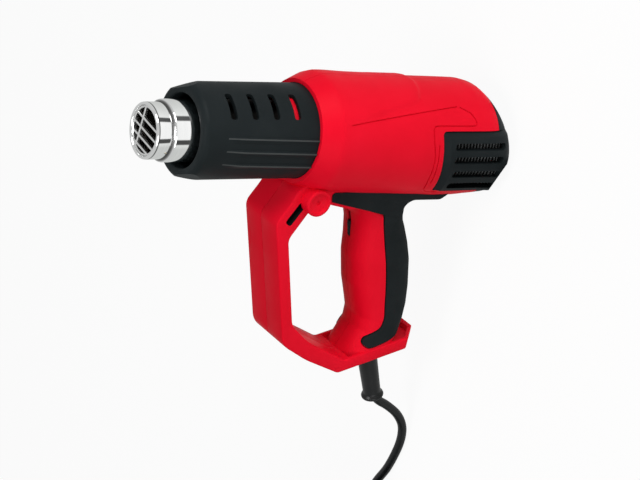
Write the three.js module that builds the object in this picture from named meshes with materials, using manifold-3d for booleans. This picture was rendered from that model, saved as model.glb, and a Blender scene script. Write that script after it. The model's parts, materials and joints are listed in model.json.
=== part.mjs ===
// Hot air tool standing on its tail, nozzle up: +Z runs along the barrel to the nozzle,
// the handle hangs towards -X and the side that shows is -Y. Millimetres.
import * as THREE from 'three';
import { mergeVertices } from 'three/addons/utils/BufferGeometryUtils.js';
import Module from 'manifold-3d';

const wasm = await Module();
wasm.setup();

// Clearances
const CLEAR = 0.3;
const SPLIT = 0.3;
const BIG = 600;

// Barrel
const TOOL_LENGTH = 258;
const WALL = 2.6;
const COLLAR_FRONT = 152.5;
const COLLAR_RADIUS = 32;
const WEB_REAR = 137;
const SOCKET_REAR = 143;
const SPIGOT_FRONT = 180;
const SPIGOT_WALL = 2.4;
// Stations of the body: height, reach above the axis, reach below it, half width
const BODY = [
  [COLLAR_FRONT, COLLAR_RADIUS, COLLAR_RADIUS, COLLAR_RADIUS],
  [140, 37.4, 37.5, 37.4],
  [132, 37.4, 37.6, 37.4],
  [117, 36.7, 38, 36.8],
  [100, 36.3, 38.8, 36.4],
  [72, 36.3, 40.3, 35.9],
  [69, 36.1, 40.6, 35.7],
  [65, 35.3, 40.9, 35.5],
  [45, 34.8, 42, 35.2],
  [29, 34.5, 41.8, 35.2],
  [20, 32.6, 40.8, 35.2],
  [12, 27.4, 39, 34.9],
  [6, 21.4, 36, 34],
  [2.2, 14, 32.4, 32.4],
  [0, 8, 29, 29.5],
];

// Handle: height, centre along the barrel, half depth, half width
const HANDLE = [
  [-20, 76, 48, 18],
  [-36, 75, 54, 20.5],
  [-41.5, 74.5, 46, 19.8],
  [-42.6, 74.5, 40.5, 19.7],
  [-43.6, 79, 31, 19.5],
  [-46, 80, 23.5, 19.1],
  [-49, 79.5, 20.5, 18.6],
  [-54, 77.4, 18.8, 17.8],
  [-58, 75.95, 18.65, 17.4],
  [-62, 74, 19.2, 17.2],
  [-74, 69.9, 21.2, 17.2],
  [-86, 66.8, 22.8, 17.6],
  [-105, 62.3, 23, 17.6],
  [-118, 58.4, 20.8, 17.6],
  [-128, 56.8, 20, 18],
  [-137, 56, 21.6, 18.4],
  [-146, 55.5, 25, 18.6],
];
const HANDLE_POWER = 2.6;
const HANDLE_RAKE = 15.9;
const GRIP_SKIN = 2;
const GRIP_PROUD = 0.4;

// Guard and base
const GUARD_WIDTH = 38;
const GUARD_EDGE = 2.2;
const BASE_REAR_HALF = 6.5;
const BASE_REAR = 26;
const BASE_TAPER = 38;
const HANG_SLOT = [14, 4.6];
const HANG_SLOT_AT = [151, -50.5];
const HANG_SLOT_TURN = 34;

// Nozzle and heater
const NOZZLE_REACH = 25;
const NOZZLE_RIM_RADIUS = 17;
const NOZZLE_RIM_LENGTH = 10.4;
const NOZZLE_RADIUS = 18.75;
const NOZZLE_WALL = 0.9;
const FLARE_RADIUS = 25.2;
const FLARE_FRONT = 128;
const FLANGE_REAR = 120;
const FLANGE_RADIUS = 30;
const FLANGE_THICK = 1.2;
const GRILLE_BAR = 1.3;
const GRILLE_DEPTH = 2.6;
const GRILLE_INSET = 0.9;
const GRILLE_RING = 1.4;
const SLEEVE_WALL = 0.8;
const CORE_THICK = 1.8;
const COIL_WIRE = 1.6;
const COIL_TURNS = 3;
const COIL_PITCH = 29;
const COIL_START = 142;
const MOUNT_THICK = 4;

// Shroud
const SHROUD_RADIUS = 29.4;
const SHROUD_WALL = 2.2;
const SHROUD_MOUTH = 22.5;
const SHROUD_FRONT_WALL = 2.6;
const SHROUD_BEVELS = [[12.5, 4], [8, 2.6]];
const SHROUD_TURN = 24;
const SHROUD_SLOT = 3.8;
const SHROUD_SLOT_PITCH = 15;
const SHROUD_SLOT_FIRST = 167.7;
const SHROUD_RIB = [0.7, 1.1];

// Tail cap and intake grids
const CAP_BAND = 5.5;
const CAP_PLATE = 3;
const CAP_PROUD = 1;
const PANEL_FRONT = 58.5;
const PANEL_TOP = 11.5;
const PANEL_BOTTOM = -31.5;
const PANEL_INNER_HALF = 19;
const PANEL_SLOT = 4.8;
const PANEL_SLOTS = [[2.5, 9.5, 50.5], [-6.9, 9, 48.8], [-17, 7.5, 46.5], [-26, 8, 44.5]];
const GRID_THICK = 1.4;
const GRID_BARS = 5;

// Drive
const MOTOR_RADIUS = 17.5;
const MOTOR_REAR = 31.4;
const MOTOR_FRONT = 74;
const MOTOR_BOSS = [6, 3];
const SHAFT_RADIUS = 1.25;
const SHAFT_REAR = 36.4;
const FAN_REAR = 88;
const FAN_FRONT = 103;
const FAN_RADIUS = 29.8;
const FAN_HUB = 9;
const FAN_BLADES = 9;
const DUCT_REAR = 86;
const DUCT_WALL = 2.4;
const RIB_THICK = 2.4;
const MOUNT_REAR = 62;
const BOARD_THICK = 1.6;
const BOARD_RADIUS = 13;

// Switch
const SWITCH_AT = [-67, 91.6];
const SWITCH_BUTTON = [11, 2.8];
const SWITCH_FLANGE = 8;
const SWITCH_TRAVEL = 7;
const SWITCH_PROUD = 1.4;
const SWITCH_BODY = [32, 15, 16];

// Boss cover and housing screws
const BOSS_AT = [139.8, -39.7];
const BOSS_RADIUS = 8.75;
const BOSS_SEAT = 18.6;
const BOSS_FACE = 25.2;
const SCREW_RADIUS = 1.6;
const SCREW_HEAD = [3, 2.4];
const SCREW_LENGTH = 18;
const SCREW_SUNK = 8;
const BOSS_WALL = 2.2;
const SCREWS = [[139.8, -39.7, 19], [128, -138, 19], [98, -154, 19], [80, -95, 17], [139, 31.8, 19], [24, 26, 21]];

// Mains lead
const CORD_RADIUS = 3.1;
const RELIEF_EXIT = [55.6, -155];
const RELIEF_DIP = 22.4;
const RELIEF_LENGTH = 42.5;
const RELIEF_ROOT = 6.9;
const RELIEF_TIP = 6;
const RELIEF_LIP = [7.7, 3.2];
const RELIEF_MOUTH = [5.6, 2.2];
const RELIEF_FLANGE = [8.6, 3];
const RELIEF_INSIDE = 10;
const CORD_DROP = 1.6;
const CLAMP_SIZE = [7, 18, 10];
const CORD_INSIDE = 16;
const CLAMP_BACK = 9;
const TERMINAL_AT = [-113, 60];
const TERMINAL_SIZE = [12, 22.6, 12];
const WIND_AT = [-306, -20];
const WIND_INNER = 27;
const WIND_LAYERS = 4;
const WIND_LOOPS = 2;
const WIND_GAP = 0.6;
const TIE_THICK = 1.2;
const TIE_WIDTH = 8;
const TIE_ROOM = 0.8;
const TIE_ANGLE = 215;
const PLUG_AT = [-365, -12];
const PLUG_LENGTH = 46;
const PLUG_HALF = [17.5, 9];
const PLUG_NECK = 5.2;
const PIN_RADIUS = 2.4;
const PIN_LENGTH = 19;
const PIN_SPACING = 19;

const deg = Math.PI / 180;
const group = new THREE.Group();

const LOOKS = {
  red: { color: 0xd9142b, roughness: 0.38, metalness: 0 },
  black: { color: 0x23282a, roughness: 0.5, metalness: 0 },
  soft: { color: 0x1c1f20, roughness: 0.75, metalness: 0 },
  chrome: { color: 0xe4e6e4, roughness: 0.08, metalness: 1 },
  steel: { color: 0xb4b6b8, roughness: 0.3, metalness: 1 },
  mica: { color: 0xb9a988, roughness: 0.6, metalness: 0 },
  ceramic: { color: 0xe7e2d6, roughness: 0.6, metalness: 0 },
  wire: { color: 0x8d8378, roughness: 0.4, metalness: 1 },
  white: { color: 0xe2e2dd, roughness: 0.45, metalness: 0 },
  board: { color: 0x2f6b3a, roughness: 0.5, metalness: 0 },
  brass: { color: 0xc8a85a, roughness: 0.3, metalness: 1 },
};

// A closed three.js geometry as a solid
function solid(geometry) {
  const bare = geometry.clone();
  for (const name of Object.keys(bare.attributes)) {
    if (name !== 'position') bare.deleteAttribute(name);
  }
  const merged = mergeVertices(bare, 1e-4);
  const points = merged.attributes.position.array;
  const index = merged.index.array;
  const faces = [];
  let volume = 0;
  const corner = (i) => new THREE.Vector3(points[3 * i], points[3 * i + 1], points[3 * i + 2]);
  for (let i = 0; i < index.length; i += 3) {
    const [a, b, c] = [index[i], index[i + 1], index[i + 2]];
    if (a === b || b === c || c === a) continue;
    faces.push([a, b, c]);
    volume += corner(a).dot(corner(b).cross(corner(c)));
  }
  const wound = faces.flatMap(([a, b, c]) => (volume < 0 ? [a, c, b] : [a, b, c]));
  const vertProperties = new Float32Array(points);
  const triVerts = new Uint32Array(wound);
  return new wasm.Manifold(new wasm.Mesh({ numProp: 3, vertProperties, triVerts }));
}

function join(...pieces) {
  return pieces.reduce((whole, piece) => whole.add(piece));
}

function cut(whole, ...tools) {
  return tools.reduce((left, tool) => left.subtract(tool), whole);
}

// A solid as a named mesh with its look
function mesh(name, shape, look, parent = group) {
  const { vertProperties, triVerts } = shape.getMesh();
  const geometry = new THREE.BufferGeometry();
  geometry.setAttribute('position', new THREE.BufferAttribute(new Float32Array(vertProperties), 3));
  geometry.setIndex(new THREE.BufferAttribute(new Uint32Array(triVerts), 1));
  geometry.computeVertexNormals();
  const piece = new THREE.Mesh(geometry, new THREE.MeshStandardMaterial(LOOKS[look]));
  piece.name = name;
  parent.add(piece);
  return piece;
}

// Block between two corners
function block(low, high) {
  const size = high.map((v, i) => v - low[i]);
  const centre = high.map((v, i) => (v + low[i]) / 2);
  return solid(new THREE.BoxGeometry(...size).translate(...centre));
}

// Body of revolution about Z from pairs of radius and height, closed on itself
function turned(profile, segments = 28) {
  const points = profile.map(([r, z]) => new THREE.Vector2(r, z));
  if (profile[0][0] > 0) points.push(points[0].clone());
  return solid(new THREE.LatheGeometry(points, segments).rotateX(Math.PI / 2));
}

function rod(radius, from, to, segments = 16) {
  return turned([[0, from], [radius, from], [radius, to], [0, to]], segments);
}

function ring(inner, outer, from, to, segments = 28) {
  return turned([[inner, from], [outer, from], [outer, to], [inner, to]], segments);
}

// Round bar across the tool, from one side position to another
function pin(at, radius, from, to, segments = 8) {
  const bar = new THREE.CylinderGeometry(radius, radius, Math.abs(to - from), segments);
  return solid(bar.translate(at[1], (from + to) / 2, at[0]));
}

function power(value, exponent) {
  return Math.sign(value) * Math.abs(value) ** (2 / exponent);
}

// Skin through rings of points, one ring for each station
function loft(stations, segments, place) {
  const steps = stations.length - 1;
  const skin = new THREE.CylinderGeometry(1, 1, 1, segments, steps);
  const point = skin.attributes.position;
  for (let i = 0; i < point.count; i += 1) {
    const station = stations[Math.round((point.getY(i) + 0.5) * steps)];
    point.setXYZ(i, ...place(station, point.getX(i), point.getZ(i)));
  }
  return solid(skin);
}

function body(inset, segments = 24, stations = BODY) {
  return loft(stations, segments, ([z, top, bottom, side], c, s) => {
    const middle = (top - bottom) / 2;
    const reach = (top + bottom) / 2 - inset;
    return [middle + reach * power(c, 2.08), (side - inset) * power(s, 2.08), z];
  });
}

function handle(inset, segments = 18, stations = HANDLE) {
  return loft(stations, segments, ([x, middle, depth, side], c, s) => [
    x,
    (side - inset) * power(s, HANDLE_POWER),
    middle + (depth - inset) * power(c, HANDLE_POWER),
  ]);
}

// Outline with rounded corners, from [barrel position, height, corner radius]
function outline(corners) {
  const shape = new THREE.Shape();
  const at = (i) => new THREE.Vector2(corners[i][1], corners[i][0]);
  const count = corners.length;
  corners.forEach((corner, i) => {
    const here = at(i);
    const before = at((i + count - 1) % count);
    const after = at((i + 1) % count);
    const back = before.clone().sub(here);
    const on = after.clone().sub(here);
    const room = Math.min(corner[2] ?? 0, back.length() / 2.1, on.length() / 2.1);
    const start = here.clone().addScaledVector(back.normalize(), room);
    const end = here.clone().addScaledVector(on.normalize(), room);
    if (i === 0) shape.moveTo(start.x, start.y);
    else shape.lineTo(start.x, start.y);
    if (room > 0) shape.quadraticCurveTo(here.x, here.y, end.x, end.y);
  });
  shape.closePath();
  return shape;
}

// Outline in the plane of barrel and handle, given its thickness across the tool
function slab(shape, half, edge = 0, curveSegments = 3) {
  const depth = 2 * (half - edge);
  const settings = {
    depth,
    curveSegments,
    bevelEnabled: edge > 0,
    bevelThickness: edge,
    bevelSize: edge,
    bevelOffset: -edge,
    bevelSegments: 1,
  };
  return solid(new THREE.ExtrudeGeometry(shape, settings).rotateX(Math.PI / 2).translate(0, depth / 2, 0));
}

// Round tube along a curve
function tube(curve, radius, steps, sides) {
  const section = new THREE.Shape();
  for (let i = 0; i < sides; i += 1) {
    const angle = (i / sides) * 2 * Math.PI;
    if (i === 0) section.moveTo(radius, 0);
    else section.lineTo(radius * Math.cos(angle), radius * Math.sin(angle));
  }
  section.closePath();
  return solid(new THREE.ExtrudeGeometry(section, { steps, bevelEnabled: false, extrudePath: curve }));
}

// Curve through points that are already close together
class Route extends THREE.Curve {
  constructor(points) {
    super();
    this.points = points;
  }

  getPoint(t, target = new THREE.Vector3()) {
    const place = Math.min(Math.max(t, 0), 1) * (this.points.length - 1);
    const i = Math.min(Math.floor(place), this.points.length - 2);
    return target.lerpVectors(this.points[i], this.points[i + 1], place - i);
  }

  getPointAt(t, target) {
    return this.getPoint(t, target);
  }

  getTangent(t, target = new THREE.Vector3()) {
    const place = Math.round(Math.min(Math.max(t, 0), 1) * (this.points.length - 1));
    const next = this.points[Math.min(place + 1, this.points.length - 1)];
    const last = this.points[Math.max(place - 1, 0)];
    return target.subVectors(next, last).normalize();
  }

  getTangentAt(t, target) {
    return this.getTangent(t, target);
  }
}

// Least gap of a wound tube to itself, a turn or more apart
function windingGap(points, perTurn, diameter) {
  let least = Infinity;
  for (let i = 0; i < points.length; i += 1) {
    for (let j = i + Math.round(perTurn * 0.6); j < points.length; j += 1) {
      least = Math.min(least, points[i].distanceTo(points[j]));
    }
  }
  return least - diameter;
}

// Tail cap: rear band and two side panels that close the intake windows
function capRegion(room) {
  const panel = (side) => block(
    [PANEL_BOTTOM - room, Math.min(side * PANEL_INNER_HALF, side * 60), -1],
    [PANEL_TOP + room, Math.max(side * PANEL_INNER_HALF, side * 60), PANEL_FRONT + room],
  );
  return join(block([-60, -60, -1], [60, 60, CAP_BAND + room]), panel(-1), panel(1));
}

const INSIDE = BODY.filter(([z]) => ![132, 100, 69, 45].includes(z));
const tailCavity = body(WALL, 20, INSIDE).intersect(block([-60, -60, CAP_PLATE], [60, 60, WEB_REAR]));
const panelSlots = PANEL_SLOTS.map(([x, from, to]) => {
  const shape = outline([
    [from, x - PANEL_SLOT / 2, 2],
    [from, x + PANEL_SLOT / 2, 2],
    [to, x + PANEL_SLOT / 2, 2],
    [to, x - PANEL_SLOT / 2, 2],
  ]);
  return slab(shape, 60, 0, 1);
});
const tailSlots = [-1, 1].flatMap((side) => [0, 1].map((row) => block(
  [-19 + 12 * row, Math.min(side * 11, side * 21), -1],
  [-14 + 12 * row, Math.max(side * 11, side * 21), CAP_PLATE + 1],
)));
const capBlank = body(-CAP_PROUD).intersect(block([-60, -60, 0], [60, 60, 90]));
const proudPanels = capBlank.intersect(capRegion(0)).subtract(block([-60, -60, -1], [60, 60, CAP_BAND]));
const capBand = body(0).intersect(capRegion(0));
const rearCap = cut(join(capBand, proudPanels), tailCavity, ...panelSlots, ...tailSlots);
mesh('rear_cap', rearCap, 'black');

// Intake grids behind the panels
const gridOuter = body(WALL + CLEAR, 20, INSIDE);
const gridInner = body(WALL + CLEAR + GRID_THICK, 20, INSIDE);
const GRID_PITCH = (PANEL_FRONT - 2 * CAP_BAND) / (GRID_BARS + 1);
['right', 'left'].forEach((hand, i) => {
  const side = i === 0 ? -1 : 1;
  const field = block(
    [PANEL_BOTTOM + 2, Math.min(side * PANEL_INNER_HALF, side * 60), CAP_BAND + 1.5],
    [PANEL_TOP - 3, Math.max(side * PANEL_INNER_HALF, side * 60), PANEL_FRONT - 4],
  );
  const gaps = Array.from({ length: GRID_BARS }, (_, k) => {
    const middle = CAP_BAND + 1.5 + GRID_PITCH * (k + 1) - 0.6;
    return block([PANEL_BOTTOM + 4, -60, middle - 1.2], [PANEL_TOP - 5, 60, middle + 1.2]);
  });
  mesh(`${hand}_intake_grid`, cut(gridOuter.intersect(field), gridInner, ...gaps), 'black');
});

// Housing: barrel, handle, guard and base in two halves
const guardLoop = outline([
  [135, -20],
  [152, -33, 3],
  [155, -40, 4],
  [164.6, -54.2, 5],
  [139, -141, 9],
  [116.8, -153, 6],
  [89, -164.2, 5],
  [BASE_REAR - 14, -143],
  [BASE_REAR - 14, -134.4],
  [86, -154.2, 5],
  [100, -147.6],
  [117, -139.6, 7],
  [133.6, -123.6, 8],
  [150.2, -66, 6],
  [136.4, -40.4, 3],
  [106, -47, 4],
  [100, -43],
  [100, -20],
]);
const plan = new THREE.Shape();
const half = GUARD_WIDTH / 2;
plan.moveTo(175, half + 1);
plan.lineTo(BASE_TAPER, half + 1);
plan.lineTo(BASE_REAR, BASE_REAR_HALF);
plan.lineTo(BASE_REAR, -BASE_REAR_HALF);
plan.lineTo(BASE_TAPER, -half - 1);
plan.lineTo(175, -half - 1);
plan.closePath();
const planBlock = new THREE.ExtrudeGeometry(plan, { depth: 220, bevelEnabled: false });
const planCut = solid(planBlock.rotateY(-Math.PI / 2));
const bossTower = pin(BOSS_AT, BOSS_RADIUS - 0.6, -half, half, 24);
const guard = join(slab(guardLoop, half, GUARD_EDGE).intersect(planCut), bossTower);

const slotTurn = new THREE.Matrix4().makeRotationY(-HANG_SLOT_TURN * deg);
const slotShape = new THREE.BoxGeometry(HANG_SLOT[1], 80, HANG_SLOT[0]).applyMatrix4(slotTurn);
const hangSlot = solid(slotShape.translate(HANG_SLOT_AT[1], 0, HANG_SLOT_AT[0]));

const SPIGOT_RADIUS = SHROUD_RADIUS - SHROUD_WALL - CLEAR;
const spigot = rod(SPIGOT_RADIUS, WEB_REAR - 2, SPIGOT_FRONT, 24);
const socket = ring(SPIGOT_RADIUS, SHROUD_RADIUS + CLEAR, SOCKET_REAR, COLLAR_FRONT + 5, 24);
const bore = rod(SPIGOT_RADIUS - SPIGOT_WALL, WEB_REAR - 5, SPIGOT_FRONT + 5, 24);

// Grip panels: soft skins let into the handle
const gripOutline = (room) => outline([
  [126.6 + room, -37.5, 3],
  [125.3 + room, -40.5 - room, 1],
  [80.9 + room, -50.5 - room, 3],
  [66 + room, -94, 20],
  [60.6 + room, -125, 6],
  [62 + room, -132, 3],
  [71.5 + room, -138, 3],
  [72.6 + room, -143.5, 3],
  [67 + room, -146.8 - room],
  [22, -135 - room],
  [5, -130],
  [5, -34],
  [121, -34, 4],
]);
const bodySolid = body(0);
const skinOuter = cut(handle(-GRIP_PROUD).intersect(slab(gripOutline(0), 40)), handle(GRIP_SKIN), body(-CLEAR));
const skinPocket = cut(
  handle(-4).intersect(slab(gripOutline(CLEAR), 60)),
  handle(GRIP_SKIN + CLEAR),
  bodySolid,
);
const HOLLOW = HANDLE.filter(([x]) => ![-41.5, -42.6, -43.6, -46, -58, -62, -105, -128].includes(x));
const handleCavity = handle(GRIP_SKIN + CLEAR + WALL, 12, HOLLOW).intersect(block([-146, -60, 0], [-20, 60, 200]));

// Switch window in the front of the handle
const switchFrame = new THREE.Matrix4().makeRotationY(-HANDLE_RAKE * deg);
switchFrame.setPosition(SWITCH_AT[0], 0, SWITCH_AT[1]);
const windowSize = [SWITCH_BUTTON[0] + SWITCH_TRAVEL + 2 * CLEAR, SWITCH_BUTTON[1] + 2 * CLEAR, 30];
const windowBox = new THREE.BoxGeometry(...windowSize).translate(SWITCH_TRAVEL / 2, 0, 5);
const switchWindow = solid(windowBox.applyMatrix4(switchFrame));

// Strain relief pocket in the base
const reliefFrame = new THREE.Matrix4().makeRotationY((-90 - RELIEF_DIP) * deg);
reliefFrame.setPosition(RELIEF_EXIT[1], 0, RELIEF_EXIT[0]);
function along(profile, segments = 12) {
  const points = profile.map(([r, z]) => new THREE.Vector2(r, z));
  if (profile[0][0] > 0) points.push(points[0].clone());
  return solid(new THREE.LatheGeometry(points, segments).rotateX(Math.PI / 2).applyMatrix4(reliefFrame));
}
const flangeRear = -RELIEF_INSIDE;
const flangeFront = flangeRear + RELIEF_FLANGE[1];
const reliefHole = along([[0, flangeRear - 12], [RELIEF_FLANGE[0] + CLEAR, flangeRear - 12],
  [RELIEF_FLANGE[0] + CLEAR, flangeFront + CLEAR], [RELIEF_ROOT + CLEAR, flangeFront + CLEAR],
  [RELIEF_ROOT + CLEAR, 12], [0, 12]]);

// Ribs inside the barrel that carry the motor plate, the duct and the nozzle flange
const DUCT_FRONT = FLANGE_REAR - CLEAR;
const ribPlaces = [
  [MOUNT_REAR + MOUNT_THICK + CLEAR, 29.5, 34],
  [DUCT_REAR - CLEAR - RIB_THICK, 31, 35],
  [FLANGE_REAR + FLANGE_THICK + CLEAR, FLARE_RADIUS + 1, 36],
];
const ribSolids = ribPlaces.map(([z, inner, outer]) => ring(inner, outer, z, z + RIB_THICK, 16));

// Screw bosses and holes
const bosses = SCREWS.map(([z, x]) => pin([z, x], SCREW_RADIUS + CLEAR + BOSS_WALL, -60, 60));
const bossBlanks = join(...bosses).intersect(join(body(WALL / 2), handle(GRIP_SKIN + CLEAR + WALL / 2)));
const headSeat = ([, , side]) => side - SCREW_SUNK;
const screwHoles = SCREWS.map((screw) => join(
  pin(screw, SCREW_RADIUS + CLEAR, headSeat(screw) - SCREW_LENGTH - 1, headSeat(screw) + 1),
  pin(screw, SCREW_HEAD[0] + CLEAR, headSeat(screw), 60),
));
const bossSeat = pin(BOSS_AT, BOSS_RADIUS + CLEAR, -60, -BOSS_SEAT, 24);

const shellBlank = join(bodySolid, handle(0), guard, spigot);
const hollow = join(tailCavity, handleCavity);
const capRoom = capRegion(CLEAR).intersect(body(-8));
const shell = cut(shellBlank, hollow, socket, bore, skinPocket, hangSlot);
const ribbed = join(shell, ...ribSolids, bossBlanks);
const housing = cut(ribbed, bore, capRoom, switchWindow, reliefHole, bossSeat, ...screwHoles);
const keep = (low, high) => housing.intersect(block([-BIG, low, -BIG], [BIG, high, BIG]));
const largest = (shape) => shape.decompose().reduce((a, b) => (a.volume() > b.volume() ? a : b));
mesh('right_housing', largest(keep(-BIG, -SPLIT / 2)), 'red');
mesh('left_housing', largest(keep(SPLIT / 2, BIG)), 'red');
const skin = (low, high) => largest(skinOuter.intersect(block([-BIG, low, -BIG], [BIG, high, BIG])));
mesh('right_soft_grip', skin(-BIG, -SPLIT / 2), 'soft');
mesh('left_soft_grip', skin(SPLIT / 2, BIG), 'soft');

// Cover of the guard boss on the side that shows
const bossDisc = join(
  pin(BOSS_AT, BOSS_RADIUS - 0.8, -BOSS_FACE, -BOSS_SEAT - CLEAR, 24),
  pin(BOSS_AT, BOSS_RADIUS, -BOSS_FACE + 0.8, -BOSS_SEAT - CLEAR, 24),
);
mesh('boss_cover', cut(bossDisc, pin(BOSS_AT, BOSS_RADIUS - 2.4, -60, -BOSS_FACE + 1, 24)), 'red');

SCREWS.forEach((screw, i) => {
  const seat = headSeat(screw) + CLEAR;
  const head = pin(screw, SCREW_HEAD[0], seat, seat + SCREW_HEAD[1]);
  const shank = pin(screw, SCREW_RADIUS, seat - SCREW_LENGTH, seat + 0.5);
  const bit = new THREE.BoxGeometry(10, 2, 0.8).translate(screw[1], seat + SCREW_HEAD[1], screw[0]);
  mesh(`housing_screw_${i + 1}`, cut(join(head, shank), solid(bit)), 'steel');
});

// Nozzle shroud with vent slots and side ribs
const SHROUD_FRONT = TOOL_LENGTH - NOZZLE_REACH;
const SHROUD_REAR = SOCKET_REAR + CLEAR;
const shroudTube = turned([
  [SHROUD_RADIUS - SHROUD_WALL, SHROUD_REAR],
  [SHROUD_RADIUS, SHROUD_REAR],
  [SHROUD_RADIUS, SHROUD_FRONT - 1.6],
  [SHROUD_RADIUS - 1.2, SHROUD_FRONT],
  [SHROUD_MOUTH, SHROUD_FRONT],
  [SHROUD_MOUTH, SHROUD_FRONT - SHROUD_FRONT_WALL - 3],
  [SHROUD_RADIUS - SHROUD_WALL - 3, SHROUD_FRONT - SHROUD_FRONT_WALL - 3],
  [SHROUD_RADIUS - SHROUD_WALL, SHROUD_FRONT - SHROUD_FRONT_WALL - 8],
], 32);
const bevels = SHROUD_BEVELS.map(([long, deep], i) => {
  const wedge = new THREE.BoxGeometry(20, 90, 60).translate(10, 0, 0).rotateY(-Math.atan2(deep, long));
  wedge.translate(SHROUD_RADIUS, 0, SHROUD_FRONT - long);
  return solid(wedge.rotateZ(i * Math.PI + SHROUD_TURN * deg));
});
const ribRadius = SHROUD_RADIUS - 0.4;
const shroudRibs = [-1, 1].flatMap((side) => [9.5, -6.5, -25].map((angle) => {
  const rib = new THREE.BoxGeometry(SHROUD_RIB[0] + 0.4, SHROUD_RIB[1], 216 - COLLAR_FRONT - CLEAR);
  rib.translate(ribRadius + (SHROUD_RIB[0] + 0.4) / 2, 0, (216 + COLLAR_FRONT + CLEAR) / 2);
  return solid(rib.rotateZ(side * (90 - angle) * deg));
}));
const slotReach = Math.sin(19 * deg) * SHROUD_RADIUS;
const shroudSlots = [-1, 1].flatMap((side) => [0, 1, 2, 3].map((row) => {
  const middle = SHROUD_SLOT_FIRST + row * SHROUD_SLOT_PITCH;
  const box = new THREE.BoxGeometry(14, 2 * slotReach, SHROUD_SLOT).translate(SHROUD_RADIUS, 0, middle);
  return solid(box.rotateZ(side * 39 * deg));
}));
const shroud = cut(join(shroudTube, ...shroudRibs), ...bevels, ...shroudSlots);
mesh('nozzle_shroud', shroud, 'black');

// Nozzle tube with its flange in the housing
const RIM_REAR = TOOL_LENGTH - NOZZLE_RIM_LENGTH;
const TUBE_BORE = NOZZLE_RADIUS - NOZZLE_WALL;
const RIM_BORE = NOZZLE_RIM_RADIUS - NOZZLE_WALL;
mesh('nozzle_tube', turned([
  [FLARE_RADIUS - NOZZLE_WALL, FLANGE_REAR],
  [FLANGE_RADIUS, FLANGE_REAR],
  [FLANGE_RADIUS, FLANGE_REAR + FLANGE_THICK],
  [FLARE_RADIUS, FLANGE_REAR + FLANGE_THICK],
  [FLARE_RADIUS, FLARE_FRONT],
  [NOZZLE_RADIUS, WEB_REAR],
  [NOZZLE_RADIUS, RIM_REAR - 1.2],
  [NOZZLE_RIM_RADIUS, RIM_REAR],
  [NOZZLE_RIM_RADIUS, TOOL_LENGTH - 0.5],
  [NOZZLE_RIM_RADIUS - 0.4, TOOL_LENGTH],
  [RIM_BORE, TOOL_LENGTH],
  [RIM_BORE, RIM_REAR - 0.6],
  [TUBE_BORE, RIM_REAR - 1.8],
  [TUBE_BORE, WEB_REAR - 0.4],
  [FLARE_RADIUS - NOZZLE_WALL, FLARE_FRONT - 0.4],
], 28), 'chrome');

// Guard grille in the mouth
const GRILLE_FRONT = TOOL_LENGTH - GRILLE_INSET;
const GRILLE_OUTER = RIM_BORE - CLEAR;
const barBox = (x, y, long, wide) => block(
  [x - long / 2, y - wide / 2, GRILLE_FRONT - GRILLE_DEPTH],
  [x + long / 2, y + wide / 2, GRILLE_FRONT],
);
const grilleBars = join(
  barBox(0, 4.6, 60, GRILLE_BAR),
  ...[-8.4, -2.8, 2.8, 8.4].map((x) => barBox(x, 0, GRILLE_BAR, 60)),
).intersect(rod(GRILLE_OUTER - 0.4, GRILLE_FRONT - 40, GRILLE_FRONT + 40, 20));
const grilleRing = ring(GRILLE_OUTER - GRILLE_RING, GRILLE_OUTER, GRILLE_FRONT - GRILLE_DEPTH, GRILLE_FRONT, 20);
mesh('nozzle_grille', join(grilleRing, grilleBars).rotate([0, 0, 6]), 'steel');

// Heater: mica cross, wound wire, sleeve and ceramic mount
const SLEEVE_OUTER = TUBE_BORE - CLEAR;
const SLEEVE_BORE = SLEEVE_OUTER - SLEEVE_WALL;
const COIL_RADIUS = SLEEVE_BORE - CLEAR - COIL_WIRE / 2 - 0.3;
const CORE_REACH = COIL_RADIUS - COIL_WIRE / 2 - CLEAR;
const MOUNT_FRONT = FLANGE_REAR + 1.8 + MOUNT_THICK;
const SLEEVE_FRONT = RIM_REAR - 1.8 - CLEAR;
const CORE_FRONT = SLEEVE_FRONT - 4;
mesh('mica_sleeve', ring(SLEEVE_BORE, SLEEVE_OUTER, WEB_REAR + 1, SLEEVE_FRONT, 24), 'mica');
const plate = (x, y) => block([-x, -y, MOUNT_FRONT + CLEAR], [x, y, CORE_FRONT]);
mesh('heater_core', join(plate(CORE_REACH, CORE_THICK / 2), plate(CORE_THICK / 2, CORE_REACH)), 'mica');

const coilSteps = 24;
const coilPoints = [];
const coilCount = COIL_TURNS * coilSteps;
for (let i = 0; i <= coilCount; i += 1) {
  const turn = (i / coilSteps) * 2 * Math.PI;
  const z = COIL_START + (i / coilSteps) * COIL_PITCH;
  coilPoints.push(new THREE.Vector3(COIL_RADIUS * Math.cos(turn), COIL_RADIUS * Math.sin(turn), z));
}
const coilGap = windingGap(coilPoints, coilSteps, COIL_WIRE);
console.log(`heating_coil least gap to itself ${coilGap.toFixed(2)} mm`);
mesh('heating_coil', tube(new Route(coilPoints), COIL_WIRE / 2, coilCount, 6), 'wire');

const MOUNT_OUTER = FLARE_RADIUS - NOZZLE_WALL - CLEAR;
const mountRing = ring(MOUNT_OUTER - 3, MOUNT_OUTER, MOUNT_FRONT - MOUNT_THICK, MOUNT_FRONT, 20);
const mountArm = (x, y) => block([-x, -y, MOUNT_FRONT - MOUNT_THICK], [x, y, MOUNT_FRONT]);
const mountArms = join(mountArm(MOUNT_OUTER - 1, 2), mountArm(2, MOUNT_OUTER - 1));
mesh('heater_mount', join(mountRing, mountArms, rod(6, MOUNT_FRONT - MOUNT_THICK, MOUNT_FRONT)), 'ceramic');
const cutoutFront = MOUNT_FRONT - MOUNT_THICK - CLEAR;
mesh('thermal_cutout', rod(4, cutoutFront - 3.4, cutoutFront).translate([0, 12, 0]), 'steel');

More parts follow.
